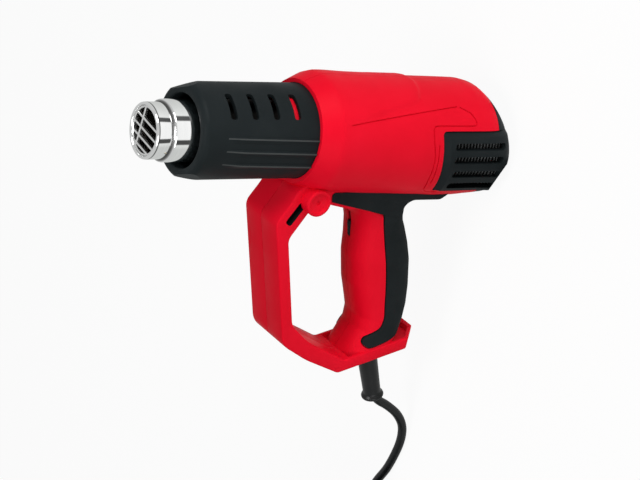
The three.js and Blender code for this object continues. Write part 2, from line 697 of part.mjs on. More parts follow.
// Fan duct, fan, motor and its plate
const DUCT_OUTER = 32.9;
mesh('fan_duct', turned([
  [DUCT_OUTER - DUCT_WALL, DUCT_REAR],
  [DUCT_OUTER, DUCT_REAR],
  [DUCT_OUTER, DUCT_FRONT],
  [24.5, DUCT_FRONT],
  [24.5, DUCT_FRONT - DUCT_WALL],
  [DUCT_OUTER - DUCT_WALL, DUCT_FRONT - 5],
]), 'black');

const blades = Array.from({ length: FAN_BLADES }, (_, i) => {
  const reach = FAN_RADIUS - FAN_HUB + 1;
  const blade = new THREE.BoxGeometry(reach, 1.4, 15).rotateX(38 * deg);
  blade.translate(FAN_HUB - 1 + reach / 2, 0, (FAN_REAR + FAN_FRONT) / 2);
  return solid(blade.rotateZ((i / FAN_BLADES) * 2 * Math.PI));
});
const fanBlank = join(rod(FAN_HUB, FAN_REAR, FAN_FRONT, 18), ...blades);
const fanTrim = fanBlank.intersect(rod(FAN_RADIUS, FAN_REAR, FAN_FRONT, 27));
const fanBore = rod(SHAFT_RADIUS + CLEAR, FAN_REAR - 5, FAN_FRONT + 5);
mesh('fan', cut(fanTrim, fanBore), 'black');
mesh('motor_shaft', rod(SHAFT_RADIUS, SHAFT_REAR, FAN_FRONT, 16), 'steel');

const bossFront = MOTOR_FRONT + MOTOR_BOSS[1];
const motorBlank = turned([
  [0, MOTOR_REAR],
  [MOTOR_RADIUS - 1.5, MOTOR_REAR],
  [MOTOR_RADIUS, MOTOR_REAR + 1.5],
  [MOTOR_RADIUS, MOTOR_FRONT],
  [MOTOR_BOSS[0], MOTOR_FRONT],
  [MOTOR_BOSS[0], bossFront],
  [0, bossFront],
], 20);
mesh('motor_can', cut(motorBlank, rod(SHAFT_RADIUS + CLEAR, SHAFT_REAR - CLEAR, bossFront + 5)), 'steel');
const PLATE_OUTER = 32;
const plateInner = ring(MOTOR_RADIUS + CLEAR, MOTOR_RADIUS + 3, MOUNT_REAR, MOUNT_REAR + MOUNT_THICK, 20);
const plateOuter = ring(PLATE_OUTER - 2.4, PLATE_OUTER, MOUNT_REAR, MOUNT_REAR + MOUNT_THICK, 20);
const arms = [0, 1, 2, 3].map((i) => {
  const arm = new THREE.BoxGeometry(PLATE_OUTER - MOTOR_RADIUS - 2.6, 5, MOUNT_THICK);
  arm.translate((PLATE_OUTER + MOTOR_RADIUS) / 2 + 0.5, 0, MOUNT_REAR + MOUNT_THICK / 2);
  return solid(arm.rotateZ((i * 90 + 45) * deg));
});
mesh('motor_plate', join(plateInner, plateOuter, ...arms), 'black');

const boardFront = MOTOR_REAR - CLEAR;
const diodes = [[-6, -4], [-6, 4], [6, -4], [6, 4]].map(([x, y]) => block(
  [x - 2.6, y - 1.5, boardFront - BOARD_THICK - 2.8],
  [x + 2.6, y + 1.5, boardFront - BOARD_THICK + 0.2],
));
mesh('rectifier_board', join(rod(BOARD_RADIUS, boardFront - BOARD_THICK, boardFront, 20), ...diodes), 'board');

// Switch in the handle, in its own raked frame
const switchGroup = new THREE.Group();
switchGroup.position.set(SWITCH_AT[0], 0, SWITCH_AT[1]);
switchGroup.rotation.y = -HANDLE_RAKE * deg;
group.add(switchGroup);
const FLANGE_BACK = -8.2;
const buttonLong = SWITCH_BUTTON[0] / 2;
const buttonWide = SWITCH_BUTTON[1] / 2;
const button = block([-buttonLong, -buttonWide, FLANGE_BACK + 1], [buttonLong, buttonWide, SWITCH_PROUD]);
const flangeLong = buttonLong + SWITCH_TRAVEL / 2;
const flangeWide = SWITCH_FLANGE / 2;
const flange = block([-flangeLong, -flangeWide, FLANGE_BACK], [flangeLong, flangeWide, FLANGE_BACK + 1.6]);
const gripLines = [-4, -1.35, 1.35, 4].map((x) => block(
  [x - 0.5, -20, SWITCH_PROUD - 0.8],
  [x + 0.5, 20, SWITCH_PROUD + 1],
));
mesh('switch_slider', cut(join(button, flange), ...gripLines), 'black', switchGroup);
const bodyTop = FLANGE_BACK - CLEAR;
mesh('switch_body', block(
  [-SWITCH_BODY[0] / 2 + SWITCH_TRAVEL / 2, -SWITCH_BODY[1] / 2, bodyTop - SWITCH_BODY[2]],
  [SWITCH_BODY[0] / 2 + SWITCH_TRAVEL / 2, SWITCH_BODY[1] / 2, bodyTop],
), 'white', switchGroup);

// Mains lead: relief, clamp, terminal block and the cord inside
const lipRear = RELIEF_LENGTH - RELIEF_LIP[1];
mesh('strain_relief', along([
  [0, flangeRear],
  [RELIEF_FLANGE[0], flangeRear],
  [RELIEF_FLANGE[0], flangeFront],
  [RELIEF_ROOT, flangeFront],
  [RELIEF_ROOT, 4],
  [RELIEF_TIP, lipRear - 0.8],
  [RELIEF_LIP[0], lipRear + 0.6],
  [RELIEF_LIP[0], RELIEF_LENGTH - 0.9],
  [RELIEF_LIP[0] - 0.8, RELIEF_LENGTH],
  [RELIEF_MOUTH[0], RELIEF_LENGTH],
  [RELIEF_MOUTH[0], RELIEF_LENGTH - RELIEF_MOUTH[1]],
  [0, RELIEF_LENGTH - RELIEF_MOUTH[1]],
], 16), 'black');
const insideEnd = flangeRear - CLEAR - CORD_INSIDE;
mesh('inner_cord', along([
  [0, insideEnd],
  [CORD_RADIUS, insideEnd],
  [CORD_RADIUS, flangeRear - CLEAR],
  [0, flangeRear - CLEAR],
], 16), 'black');
const leadGroup = new THREE.Group();
leadGroup.position.set(RELIEF_EXIT[1], 0, RELIEF_EXIT[0]);
leadGroup.rotation.y = (-90 - RELIEF_DIP) * deg;
group.add(leadGroup);
const clampAt = flangeRear - CLAMP_BACK;
const clampBlank = block(
  [-CLAMP_SIZE[2] / 2, -CLAMP_SIZE[1] / 2, clampAt - CLAMP_SIZE[0] / 2],
  [CLAMP_SIZE[2] / 2, CLAMP_SIZE[1] / 2, clampAt + CLAMP_SIZE[0] / 2],
);
const clampBore = rod(CORD_RADIUS + CLEAR, clampAt - 20, clampAt + 20, 16);
const clampScrewAt = [-6.3, 6.3];
const clampScrew = (y, room) => rod(1.8 + room, -CLAMP_SIZE[2] / 2 + 2 - room, CLAMP_SIZE[2] / 2 + 0.6, 10)
  .rotate([0, 90, 0]).translate([0, y, clampAt]);
mesh('cord_clamp', cut(clampBlank, clampBore, ...clampScrewAt.map((y) => clampScrew(y, CLEAR))), 'white', leadGroup);
clampScrewAt.forEach((y, i) => mesh(`clamp_screw_${i + 1}`, clampScrew(y, 0), 'steel', leadGroup));
const terminalGroup = new THREE.Group();
terminalGroup.position.set(TERMINAL_AT[0], 0, TERMINAL_AT[1]);
terminalGroup.rotation.y = -HANDLE_RAKE * deg;
group.add(terminalGroup);
const terminalHalf = TERMINAL_SIZE.map((v) => v / 2);
mesh('terminal_block', block(terminalHalf.map((v) => -v), terminalHalf), 'white', terminalGroup);

// Free cord: droops from the relief to the surface and runs to the wound length
const dip = RELIEF_DIP * deg;
const reliefPoint = (s, drop) => new THREE.Vector3(
  RELIEF_EXIT[1] - s * Math.cos(dip) + drop * Math.sin(dip),
  0,
  RELIEF_EXIT[0] - s * Math.sin(dip) - drop * Math.cos(dip),
);
const pitch = 2 * CORD_RADIUS + WIND_GAP;
const windOuter = WIND_INNER + WIND_LOOPS * pitch;
const windFloor = 0.1 + TIE_THICK + TIE_ROOM + CORD_RADIUS;
const windStart = new THREE.Vector3(WIND_AT[0], WIND_AT[1] + windOuter, windFloor);
const freeCurve = new THREE.CatmullRomCurve3([
  reliefPoint(RELIEF_LENGTH - 0.4, CORD_DROP),
  reliefPoint(RELIEF_LENGTH + 4.5, CORD_DROP + 1.4),
  new THREE.Vector3(-203.4, 0, 24.4),
  new THREE.Vector3(-211.4, 0, 13.6),
  new THREE.Vector3(-221, 0, 6.6),
  new THREE.Vector3(-234, 1, 3.7),
  new THREE.Vector3(-258, 7, 3.7),
  new THREE.Vector3(-275, 15, 4.2),
  windStart.clone().add(new THREE.Vector3(17, -1.4, -0.3)),
  windStart.clone().add(new THREE.Vector3(2 * CLEAR, 0, 0)),
], false, 'centripetal');
const freePoints = freeCurve.getSpacedPoints(24);
mesh('power_cord', tube(new Route(freePoints), CORD_RADIUS, 24, 8), 'black');

// Wound length: layers that spiral in and out, each climbing where the spiral reverses
const windSteps = 24;
const windTurns = WIND_LAYERS * WIND_LOOPS;
const windPoints = [];
for (let i = 0; i <= windTurns * windSteps; i += 1) {
  const t = i / windSteps;
  const layer = Math.min(Math.floor(t / WIND_LOOPS), WIND_LAYERS - 1);
  const part = t - layer * WIND_LOOPS;
  const inward = layer % 2 === 0;
  const radius = inward ? windOuter - pitch * part : WIND_INNER + pitch * part;
  let level = layer;
  const near = Math.round(t / WIND_LOOPS);
  const off = t - near * WIND_LOOPS;
  if (near > 0 && near < WIND_LAYERS && Math.abs(off) < 0.25) {
    level = near - 0.5 + 0.5 * Math.sin(off * 2 * Math.PI);
  }
  const turn = Math.PI / 2 + t * 2 * Math.PI;
  windPoints.push(new THREE.Vector3(
    WIND_AT[0] + radius * Math.cos(turn),
    WIND_AT[1] + radius * Math.sin(turn),
    windFloor + level * pitch,
  ));
}
const windGap = windingGap(windPoints, windSteps, 2 * CORD_RADIUS);
console.log(`cord_coil least gap to itself ${windGap.toFixed(2)} mm`);
mesh('cord_coil', tube(new Route(windPoints), CORD_RADIUS, windTurns * windSteps, 6), 'black');

const windTop = windFloor + (WIND_LAYERS - 1) * pitch + CORD_RADIUS;
const tieDrift = (pitch * (TIE_ANGLE - 90)) / 360;
const tieInner = WIND_INNER + tieDrift - CORD_RADIUS - TIE_ROOM;
const tieOuter = windOuter - tieDrift + CORD_RADIUS + TIE_ROOM;
const tieRing = (grow, wide) => block(
  [tieInner - grow, -wide / 2, windFloor - CORD_RADIUS - TIE_ROOM - grow],
  [tieOuter + grow, wide / 2, windTop + TIE_ROOM + grow],
);
const tie = cut(tieRing(TIE_THICK, TIE_WIDTH), tieRing(0, TIE_WIDTH + 10));
mesh('cord_tie', tie.rotate([0, 0, TIE_ANGLE]).translate([...WIND_AT, 0]), 'black');

// Plug at the end of the lead, lying beside the wound length
const plugZ = PLUG_HALF[1] + 0.3;
const lastWind = windPoints[windPoints.length - 1];
const plugCurve = new THREE.CatmullRomCurve3([
  lastWind.clone().add(new THREE.Vector3(-2 * CLEAR, 0, 0)),
  lastWind.clone().add(new THREE.Vector3(-9, 0, -0.3)),
  new THREE.Vector3(-330, 20.2, 23.8),
  new THREE.Vector3(-346, 16.2, 19),
  new THREE.Vector3(-357.6, 8.4, 13.8),
  new THREE.Vector3(PLUG_AT[0] + 1.4, PLUG_AT[1] + 12, plugZ + 0.8),
  new THREE.Vector3(PLUG_AT[0], PLUG_AT[1] + 2 * CLEAR, plugZ),
], false, 'centripetal');
mesh('plug_lead', tube(new Route(plugCurve.getSpacedPoints(16)), CORD_RADIUS, 16, 6), 'black');
const plugStations = [
  [0, PLUG_NECK, PLUG_NECK],
  [10, PLUG_NECK + 0.4, PLUG_NECK + 0.2],
  [20, 11, 7.4],
  [29, PLUG_HALF[0], PLUG_HALF[1]],
  [PLUG_LENGTH - 2, PLUG_HALF[0], PLUG_HALF[1]],
  [PLUG_LENGTH, PLUG_HALF[0] - 1.5, PLUG_HALF[1] - 1.5],
];
const plugBody = loft(plugStations, 24, ([s, wide, tall], c, d) => [
  PLUG_AT[0] + wide * power(c, 2.4),
  PLUG_AT[1] - s,
  plugZ + tall * power(d, 2.4),
]);
mesh('plug_body', plugBody, 'black');
[-1, 1].forEach((side, i) => {
  const base = PLUG_AT[1] - PLUG_LENGTH - CLEAR;
  mesh(`plug_pin_${i + 1}`, pin(
    [plugZ, PLUG_AT[0] + (side * PIN_SPACING) / 2],
    PIN_RADIUS,
    base - PIN_LENGTH,
    base,
    12,
  ), 'brass');
});

export default group;
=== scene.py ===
import json
import math
import bmesh
import bpy
import numpy as np
from mathutils import Matrix, Vector


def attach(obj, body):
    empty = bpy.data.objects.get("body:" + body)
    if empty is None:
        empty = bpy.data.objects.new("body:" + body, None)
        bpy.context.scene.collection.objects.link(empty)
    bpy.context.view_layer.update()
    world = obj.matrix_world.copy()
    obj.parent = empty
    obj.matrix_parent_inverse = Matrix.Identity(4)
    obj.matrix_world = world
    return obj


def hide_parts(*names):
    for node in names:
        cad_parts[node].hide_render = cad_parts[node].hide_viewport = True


# Hot air tool standing on its tail, nozzle up. Sizes below are in millimetres, as in the solids.
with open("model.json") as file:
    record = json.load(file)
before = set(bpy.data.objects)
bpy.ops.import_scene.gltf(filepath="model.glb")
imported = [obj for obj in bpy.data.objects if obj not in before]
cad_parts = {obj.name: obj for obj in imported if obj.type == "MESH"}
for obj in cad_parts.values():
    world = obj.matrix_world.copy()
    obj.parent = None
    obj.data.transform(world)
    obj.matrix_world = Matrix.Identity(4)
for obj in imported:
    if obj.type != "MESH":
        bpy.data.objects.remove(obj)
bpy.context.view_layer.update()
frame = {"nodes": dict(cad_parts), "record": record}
MM = 0.001
SPLIT = 0.12
HANDS = ((-1, "right"), (1, "left"))
SMOOTH = 32

scene = bpy.context.scene
scene.view_settings.view_transform = "Standard"


def linked(name, data):
    obj = bpy.data.objects.new(name, data)
    scene.collection.objects.link(obj)
    return obj


# Camera at the photograph's viewing angle, turned on its side as the picture is

CAMERA_AT = (0.35813, -0.91701, 0.81857)
CAMERA_RIGHT = (0.2069, -0.5333, -0.8203)
CAMERA_UP = (0.9133, 0.4059, -0.0335)
CAMERA_BACK = (0.3508, -0.7422, 0.5710)
CAMERA_LENS = 108.56
CAMERA_SENSOR = 36.0


def place_camera():
    data = bpy.data.cameras.new("camera")
    data.sensor_width = CAMERA_SENSOR
    data.lens = CAMERA_LENS
    data.clip_start = 0.05
    camera = linked("camera", data)
    turn = Matrix((CAMERA_RIGHT, CAMERA_UP, CAMERA_BACK)).transposed().to_4x4()
    camera.matrix_world = Matrix.Translation(CAMERA_AT) @ turn
    scene.camera = camera


place_camera()


# Materials

# Input of a node, set to a constant or linked to another node's output
def feed(tree, socket, value):
    if isinstance(value, bpy.types.NodeSocket):
        tree.links.new(value, socket)
    else:
        socket.default_value = value


def reckon(tree, operation, *values):
    node = tree.nodes.new("ShaderNodeMath")
    node.operation = operation
    for socket, value in zip(node.inputs, values):
        feed(tree, socket, value)
    return node.outputs[0]


class Nodes:
    def __init__(self, name):
        self.material = bpy.data.materials.new(name)
        self.material.use_nodes = True
        self.tree = self.material.node_tree
        self.tree.nodes.clear()
        self.shader = self.node("BsdfPrincipled")
        self.out = self.node("OutputMaterial", Surface=self.shader.outputs["BSDF"])
        self.place = self.node("TexCoord").outputs["Object"]

    def set(self, node, **values):
        for key, value in values.items():
            feed(self.tree, node.inputs[key.replace("_", " ")], value)

    def node(self, kind, **values):
        node = self.tree.nodes.new("ShaderNode" + kind)
        self.set(node, **values)
        return node

    def finish(self, **values):
        self.set(self.shader, **values)
        return self.material

    def noise(self, scale, detail, rough, stretch=None):
        place = self.place
        if stretch is not None:
            place = self.node("Mapping", Vector=place, Scale=stretch).outputs["Vector"]
        node = self.node("TexNoise", Vector=place, Scale=scale, Detail=detail, Roughness=rough)
        return node.outputs["Fac"]

    def spread(self, value, low, high, start=0.3, end=0.7):
        node = self.node("MapRange", Value=value, From_Min=start, From_Max=end, To_Min=low, To_Max=high)
        return node.outputs["Result"]

    def axes(self):
        return self.node("SeparateXYZ", Vector=self.place).outputs

    def mix(self, factor, first, second):
        node = self.node("Mix")
        node.data_type = "RGBA"
        self.set(node, Factor=factor, A=(*first, 1), B=second)
        return node.outputs["Result"]

    def ramp(self, value, stops):
        node = self.node("ValToRGB", Fac=value)
        first, last = node.color_ramp.elements
        first.position, first.color = stops[0][0], (*stops[0][1], 1)
        last.position, last.color = stops[-1][0], (*stops[-1][1], 1)
        for position, colour in stops[1:-1]:
            node.color_ramp.elements.new(position).color = (*colour, 1)
        return node.outputs["Color"]

    def bump(self, value, strength, distance, **before):
        node = self.node("Bump", Height=value, Strength=strength, Distance=distance, **before)
        return node.outputs["Normal"]


def moulded(name, dark, light, rough, grain, depth, specular=0.5):
    n = Nodes(name)
    waves = n.bump(n.noise(38, 2, 0.4), 0.10, 0.0006)
    return n.finish(
        Base_Color=n.ramp(n.noise(26, 3, 0.55), [(0.3, dark), (0.7, light)]),
        Roughness=n.spread(n.noise(55, 4, 0.6), *rough),
        Normal=n.bump(n.noise(grain, 2, 0.6), depth, 0.00012, Normal=waves),
        Specular_IOR_Level=specular,
    )


def metal(name, dark, light, rough, stretch, depth):
    n = Nodes(name)
    lines = n.noise(60, 4, 0.6, stretch)
    return n.finish(
        Base_Color=n.ramp(lines, [(0.3, dark), (0.7, light)]),
        Roughness=n.spread(n.noise(90, 3, 0.6), *rough),
        Normal=n.bump(lines, depth, 0.00008),
        Metallic=1.0,
    )


# Outlet steel: dark and rough up to just inside the shroud's mouth as painted shade, then bright but for
# fine painted shadow lines at the step and behind the rim
def chrome():
    n = Nodes("chrome")
    lines = n.noise(60, 4, 0.6, (0.3, 0.3, 9))
    bright = n.ramp(lines, [(0.3, (0.86, 0.87, 0.865)), (0.7, (0.92, 0.925, 0.92))])
    low, high = 0.22, 0.26
    painted_shade_levels = [
        (0.221, 0), (0.226, 1), (0.2466, 1), (0.2470, 0.1), (0.2475, 0.1), (0.2479, 1), (0.2558, 1),
        (0.2562, 0.1), (0.2566, 0.1), (0.2570, 1),
    ]
    # Painted shade by height: 0 for the dark inside of the shroud, 0.1 for the painted shadow lines
    height = n.spread(n.axes()["Z"], 0.0, 1.0, low, high)
    ahead = n.ramp(height, [((z - low) / (high - low), (v, v, v)) for z, v in painted_shade_levels])
    return n.finish(
        Base_Color=n.mix(ahead, (0.035, 0.034, 0.033), bright),
        Roughness=n.spread(ahead, 0.45, 0.06, 0.0, 0.5),
        Normal=n.bump(lines, 0.02, 0.00008),
        Metallic=1.0,
    )


def soft_touch():
    n = Nodes("soft_touch")
    cells = n.node("TexVoronoi", Vector=n.place, Scale=1500).outputs["Distance"]
    pebbles = n.bump(cells, 0.12, 0.00012)
    shades = [(0.3, (0.0085, 0.0115, 0.012)), (0.7, (0.012, 0.0155, 0.0165))]
    return n.finish(
        Base_Color=n.ramp(n.noise(40, 3, 0.5), shades),
        Roughness=n.spread(n.noise(120, 4, 0.6), 0.62, 0.78),
        Normal=n.bump(n.noise(900, 3, 0.6), 0.12, 0.0001, Normal=pebbles),
        Specular_IOR_Level=0.08,
    )


def rubber_lead():
    n = Nodes("lead_rubber")
    shades = [(0.3, (0.0036, 0.0044, 0.0047)), (0.7, (0.0060, 0.0072, 0.0077))]
    return n.finish(
        Base_Color=n.ramp(n.noise(70, 3, 0.5), shades),
        Roughness=n.spread(n.noise(160, 4, 0.6), 0.3, 0.42),
        Normal=n.bump(n.noise(700, 3, 0.6), 0.14, 0.00012),
        Specular_IOR_Level=0.3,
    )


LOOK = {
    "red": moulded(
        "red_moulded", (0.7, 0.003, 0.0165), (0.76, 0.004, 0.0205), (0.42, 0.52), 1500, 0.05, 0.045),
    "black": moulded(
        "grey_moulded", (0.0085, 0.012, 0.013), (0.0125, 0.0165, 0.0178), (0.46, 0.58), 1700, 0.16, 0.07),
    "soft": soft_touch(),
    "lead": rubber_lead(),
    "chrome": chrome(),
    "steel": metal("plated_steel", (0.55, 0.56, 0.57), (0.68, 0.69, 0.7), (0.2, 0.34), (1, 1, 6), 0.08),
    "bars": metal("bar_steel", (0.72, 0.73, 0.72), (0.84, 0.845, 0.84), (0.24, 0.36), (2, 2, 2), 0.05),
    "wire": metal("heating_wire", (0.06, 0.055, 0.05), (0.1, 0.09, 0.085), (0.4, 0.55), (3, 3, 3), 0.1),
    "brass": metal("pin_brass", (0.66, 0.5, 0.2), (0.78, 0.61, 0.28), (0.16, 0.28), (1, 8, 1), 0.06),
    # Mica and ceramic are coloured far darker than their own colour: painted shade for the depth of the
    # outlet
    "mica": moulded("mica_sheet", (0.016, 0.013, 0.01), (0.03, 0.024, 0.018), (0.5, 0.7), 900, 0.2, 0.2),
    "ceramic": moulded("ceramic", (0.05, 0.047, 0.043), (0.075, 0.07, 0.065), (0.6, 0.75), 1200, 0.12, 0.2),
    "white": moulded("white_moulded", (0.68, 0.68, 0.65), (0.76, 0.76, 0.73), (0.36, 0.48), 1500, 0.08),
    "board": moulded("board_lacquer", (0.015, 0.085, 0.03), (0.025, 0.125, 0.045), (0.3, 0.42), 1100, 0.08),
    # Lighter grey strip along the rib crests: painted highlight
    "crest_highlight": moulded("crest_painted_highlight", (0.034, 0.038, 0.038), (0.046, 0.052, 0.052), (0.4, 0.5), 1500, 0.1, 0.2),
    # Grey lighter than the black plastic for the intake bars: painted highlight
    "grid": moulded("grid_painted_highlight", (0.075, 0.08, 0.081), (0.1, 0.106, 0.108), (0.5, 0.62), 1500, 0.1, 0.1),
    # Near black for cut walls of openings and the backing sheet: painted shade
    "dark": moulded(
        "painted_shade_inside", (0.003, 0.0034, 0.0036), (0.0055, 0.006, 0.0062), (0.6, 0.75), 900, 0.1, 0.2),
}

SLOT_LOOK = {
    "red_plastic": "red", "black_plastic": "black", "soft_grip": "soft", "chrome_steel": "chrome",
    "steel": "steel", "mica": "mica", "ceramic": "ceramic", "heating_wire": "wire",
    "white_plastic": "white", "circuit_board": "board", "cord_rubber": "lead", "brass": "brass",
}


# Mesh helpers

def finish_mesh(obj, angle=SMOOTH):
    mesh = obj.data
    mesh.polygons.foreach_set("use_smooth", [True] * len(mesh.polygons))
    mesh.set_sharp_from_angle(angle=math.radians(angle))
    mesh.update()


def make(name, points, faces, look, angle=SMOOTH):
    mesh = bpy.data.meshes.new(name)
    mesh.from_pydata([tuple(MM * v for v in p) for p in points], [], faces)
    mesh.validate()
    obj = linked(name, mesh)
    obj.data.materials.append(LOOK[look])
    b = bmesh.new()
    b.from_mesh(mesh)
    bmesh.ops.remove_doubles(b, verts=b.verts, dist=1e-7)
    bmesh.ops.recalc_face_normals(b, faces=b.faces)
    b.to_mesh(mesh)
    b.free()
    finish_mesh(obj, angle)
    return obj


def bake(obj, angle=SMOOTH):
    graph = bpy.context.evaluated_depsgraph_get()
    mesh = bpy.data.meshes.new_from_object(obj.evaluated_get(graph))
    old = obj.data
    obj.modifiers.clear()
    obj.data = mesh
    bpy.data.meshes.remove(old)
    finish_mesh(obj, angle)


def combine(obj, tools, operation="DIFFERENCE", angle=SMOOTH):
    for tool in tools:
        step = obj.modifiers.new("shape", "BOOLEAN")
        step.operation = operation
        step.solver = "EXACT"
        step.material_mode = "TRANSFER"
        step.object = tool
    bpy.context.view_layer.update()
    bake(obj, angle)
    for tool in tools:
        bpy.data.objects.remove(tool, do_unlink=True)
    return obj


def from_bmesh(b, name, materials):
    mesh = bpy.data.meshes.new(name)
    b.to_mesh(mesh)
    b.free()
    for material in materials:
        mesh.materials.append(material)
    return linked(name, mesh)


def merge(name, parts, angle=SMOOTH):
    b = bmesh.new()
    materials = []
    for part in parts:
        own = list(part.data.materials)
        materials += [material for material in own if material not in materials]
        start = len(b.faces)
        b.from_mesh(part.data)
        b.faces.ensure_lookup_table()
        for face in b.faces[start:]:
            face.material_index = materials.index(own[face.material_index])
    obj = from_bmesh(b, name, materials)
    for part in parts:
        bpy.data.objects.remove(part, do_unlink=True)
    finish_mesh(obj, angle)
    return obj


# Piece that rides on a body in place of its solids, which are hidden
def settle(piece, slot, *nodes, body="tool"):
    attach(piece, body)
    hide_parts(*nodes)


# One half of a closed mesh, on the given side of the middle plane
def half_of(obj, name, side):
    b = bmesh.new()
    b.from_mesh(obj.data)
    geometry = b.verts[:] + b.edges[:] + b.faces[:]
    cut = bmesh.ops.bisect_plane(
        b, geom=geometry, dist=1e-7, plane_co=(0, side * SPLIT * MM, 0), plane_no=(0, -side, 0),
        clear_outer=True,
    )
    edges = [e for e in cut["geom_cut"] if isinstance(e, bmesh.types.BMEdge)]
    bmesh.ops.holes_fill(b, edges=edges, sides=0)
    bmesh.ops.recalc_face_normals(b, faces=b.faces)
    piece = from_bmesh(b, name, obj.data.materials)
    finish_mesh(piece)
    return piece


# Faces between rows of points, with the last row or column joined to the first where asked
def woven(rows, columns, join_rows=False, join_columns=False):
    faces = []
    for i in range(rows if join_rows else rows - 1):
        for j in range(columns if join_columns else columns - 1):
            k = (j + 1) % columns
            m = (i + 1) % rows * columns
            faces.append((i * columns + j, i * columns + k, m + k, m + j))
    return faces


def grid_solid(name, rings, look, angle=SMOOTH):
    rings = np.asarray(rings, float)
    count, around = rings.shape[:2]
    faces = woven(count, around, join_columns=True)
    faces += [tuple(range(around)), tuple(range((count - 1) * around, count * around))]
    return make(name, rings.reshape(-1, 3).tolist(), faces, look, angle)


# Point at a radius, an angle from +X towards +Y, and a height
def polar(r, angle, z):
    return (r * math.cos(angle), r * math.sin(angle), z)


# Body of revolution about +Z from pairs of radius and height, closed on itself or on the axis
def turned(name, profile, look, around=96, angle=SMOOTH):
    points = []
    for j in range(around):
        points += [polar(r, 2 * math.pi * j / around, z) for r, z in profile]
    faces = woven(around, len(profile), True, profile[0][0] > 0)
    return make(name, points, faces, look, angle)


def rounded(corners, radius, steps=5):
    out = []
    count = len(corners)
    for i, corner in enumerate(corners):
        here = np.array(corner[:2], float)
        back = np.array(corners[i - 1][:2], float) - here
        on = np.array(corners[(i + 1) % count][:2], float) - here
        size = corner[2] if len(corner) > 2 else radius
        room = min(size, np.linalg.norm(back) / 2.1, np.linalg.norm(on) / 2.1)
        if room <= 0:
            out.append(here)
            continue
        start = here + back / np.linalg.norm(back) * room
        end = here + on / np.linalg.norm(on) * room
        for k in range(steps + 1):
            t = k / steps
            out.append((1 - t) ** 2 * start + 2 * t * (1 - t) * here + t ** 2 * end)
    return out


def oblong(left, right, bottom, top, radius, steps):
    return rounded([(left, bottom), (right, bottom), (right, top), (left, top)], radius, steps)


# Solid between two outlines with the same number of points
def prism(name, first, last, look):
    count = len(first)
    faces = [tuple(range(count)), tuple(range(count, 2 * count))]
    faces += [(i, (i + 1) % count, count + (i + 1) % count, count + i) for i in range(count)]
    return make(name, first + last, faces, look)


# Outline in the plane of barrel and handle, as pairs of Z and X, between two side positions
def slab(name, outline, low, high, look="red"):
    return prism(name, [(x, low, z) for z, x in outline], [(x, high, z) for z, x in outline], look)


def block(name, low, high, look="red"):
    (a, b, c), (d, e, f) = low, high
    return slab(name, [(c, a), (f, a), (f, d), (c, d)], b, e, look)


# Rounded edges: full width where a test on the edge's middle says so, a small share elsewhere
def round_edges(obj, width, steps, share, sharp=50):
    mesh = obj.data
    weights = mesh.attributes.new("bevel_weight_edge", "FLOAT", "EDGE")
    b = bmesh.new()
    b.from_mesh(mesh)
    b.edges.ensure_lookup_table()
    for edge in b.edges:
        bent = len(edge.link_faces) == 2 and edge.calc_face_angle(0) > math.radians(sharp)
        middle = (edge.verts[0].co + edge.verts[1].co) / (2 * MM)
        weights.data[edge.index].value = share(middle) if bent else 0
    b.free()
    step = obj.modifiers.new("edges", "BEVEL")
    step.width = width * MM
    step.segments = steps
    step.limit_method = "WEIGHT"
    step.use_clamp_overlap = False
    bpy.context.view_layer.update()
    bake(obj)


# Round bar between two points
def bar(name, start, end, radius, look="red", around=20):
    start, end = Vector(start), Vector(end)
    turn = (end - start).to_track_quat("Z", "Y")
    circle = [Vector(polar(radius, 2 * math.pi * j / around, 0)) for j in range(around)]
    return grid_solid(name, [[tuple(p + turn @ q) for q in circle] for p in (start, end)], look)


# Tube through points
def tube(name, path, radius, look="red", around=10):
    path = [Vector(p) for p in path]
    turns = [2 * math.pi * j / around for j in range(around)]
    rings = []
    side = None
    for i, p in enumerate(path):
        ahead = path[min(i + 1, len(path) - 1)] - path[max(i - 1, 0)]
        ahead.normalize()
        if side is None:
            side = ahead.orthogonal().normalized()
        side = (side - ahead * side.dot(ahead)).normalized()
        other = ahead.cross(side)
        rings.append([tuple(p + radius * (math.cos(a) * side + math.sin(a) * other)) for a in turns])
    return grid_solid(name, rings, look)


def smooth_table(rows, step, spread):
    rows = np.array(sorted(rows), float)
    at = np.arange(rows[0, 0], rows[-1, 0] + step / 2, step)
    table = np.stack([np.interp(at, rows[:, 0], rows[:, k]) for k in range(1, rows.shape[1])], 1)
    width = int(4 * spread / step)
    kernel = np.exp(-0.5 * (np.arange(-width, width + 1) * step / spread) ** 2)
    kernel /= kernel.sum()
    soft = table.copy()
    for k in range(table.shape[1]):
        padded = np.pad(table[:, k], width, mode="reflect", reflect_type="odd")
        soft[:, k] = np.convolve(padded, kernel, mode="valid")
    return at, soft


# Two distances on one side, lower first
def sided(side, near, far):
    return sorted((side * near, side * far))


# Pairs along a path with gaps of about the given width, the second value counted by a share
def subdivided(path, gap, share=1.0, least=1):
    out = []
    for (p0, q0), (p1, q1) in zip(path[:-1], path[1:]):
        steps = max(least, int(math.hypot(p1 - p0, (q1 - q0) * share) / gap))
        out += [(p0 + (p1 - p0) * k / steps, q0 + (q1 - q0) * k / steps) for k in range(steps)]
    return out


# Superellipse: an exponent of 2 gives a round section, a higher one a boxier section
def power(value, exponent):
    return np.sign(value) * np.abs(value) ** (2 / exponent)


# Free lead: relief, lead to the floor, wound length and plug

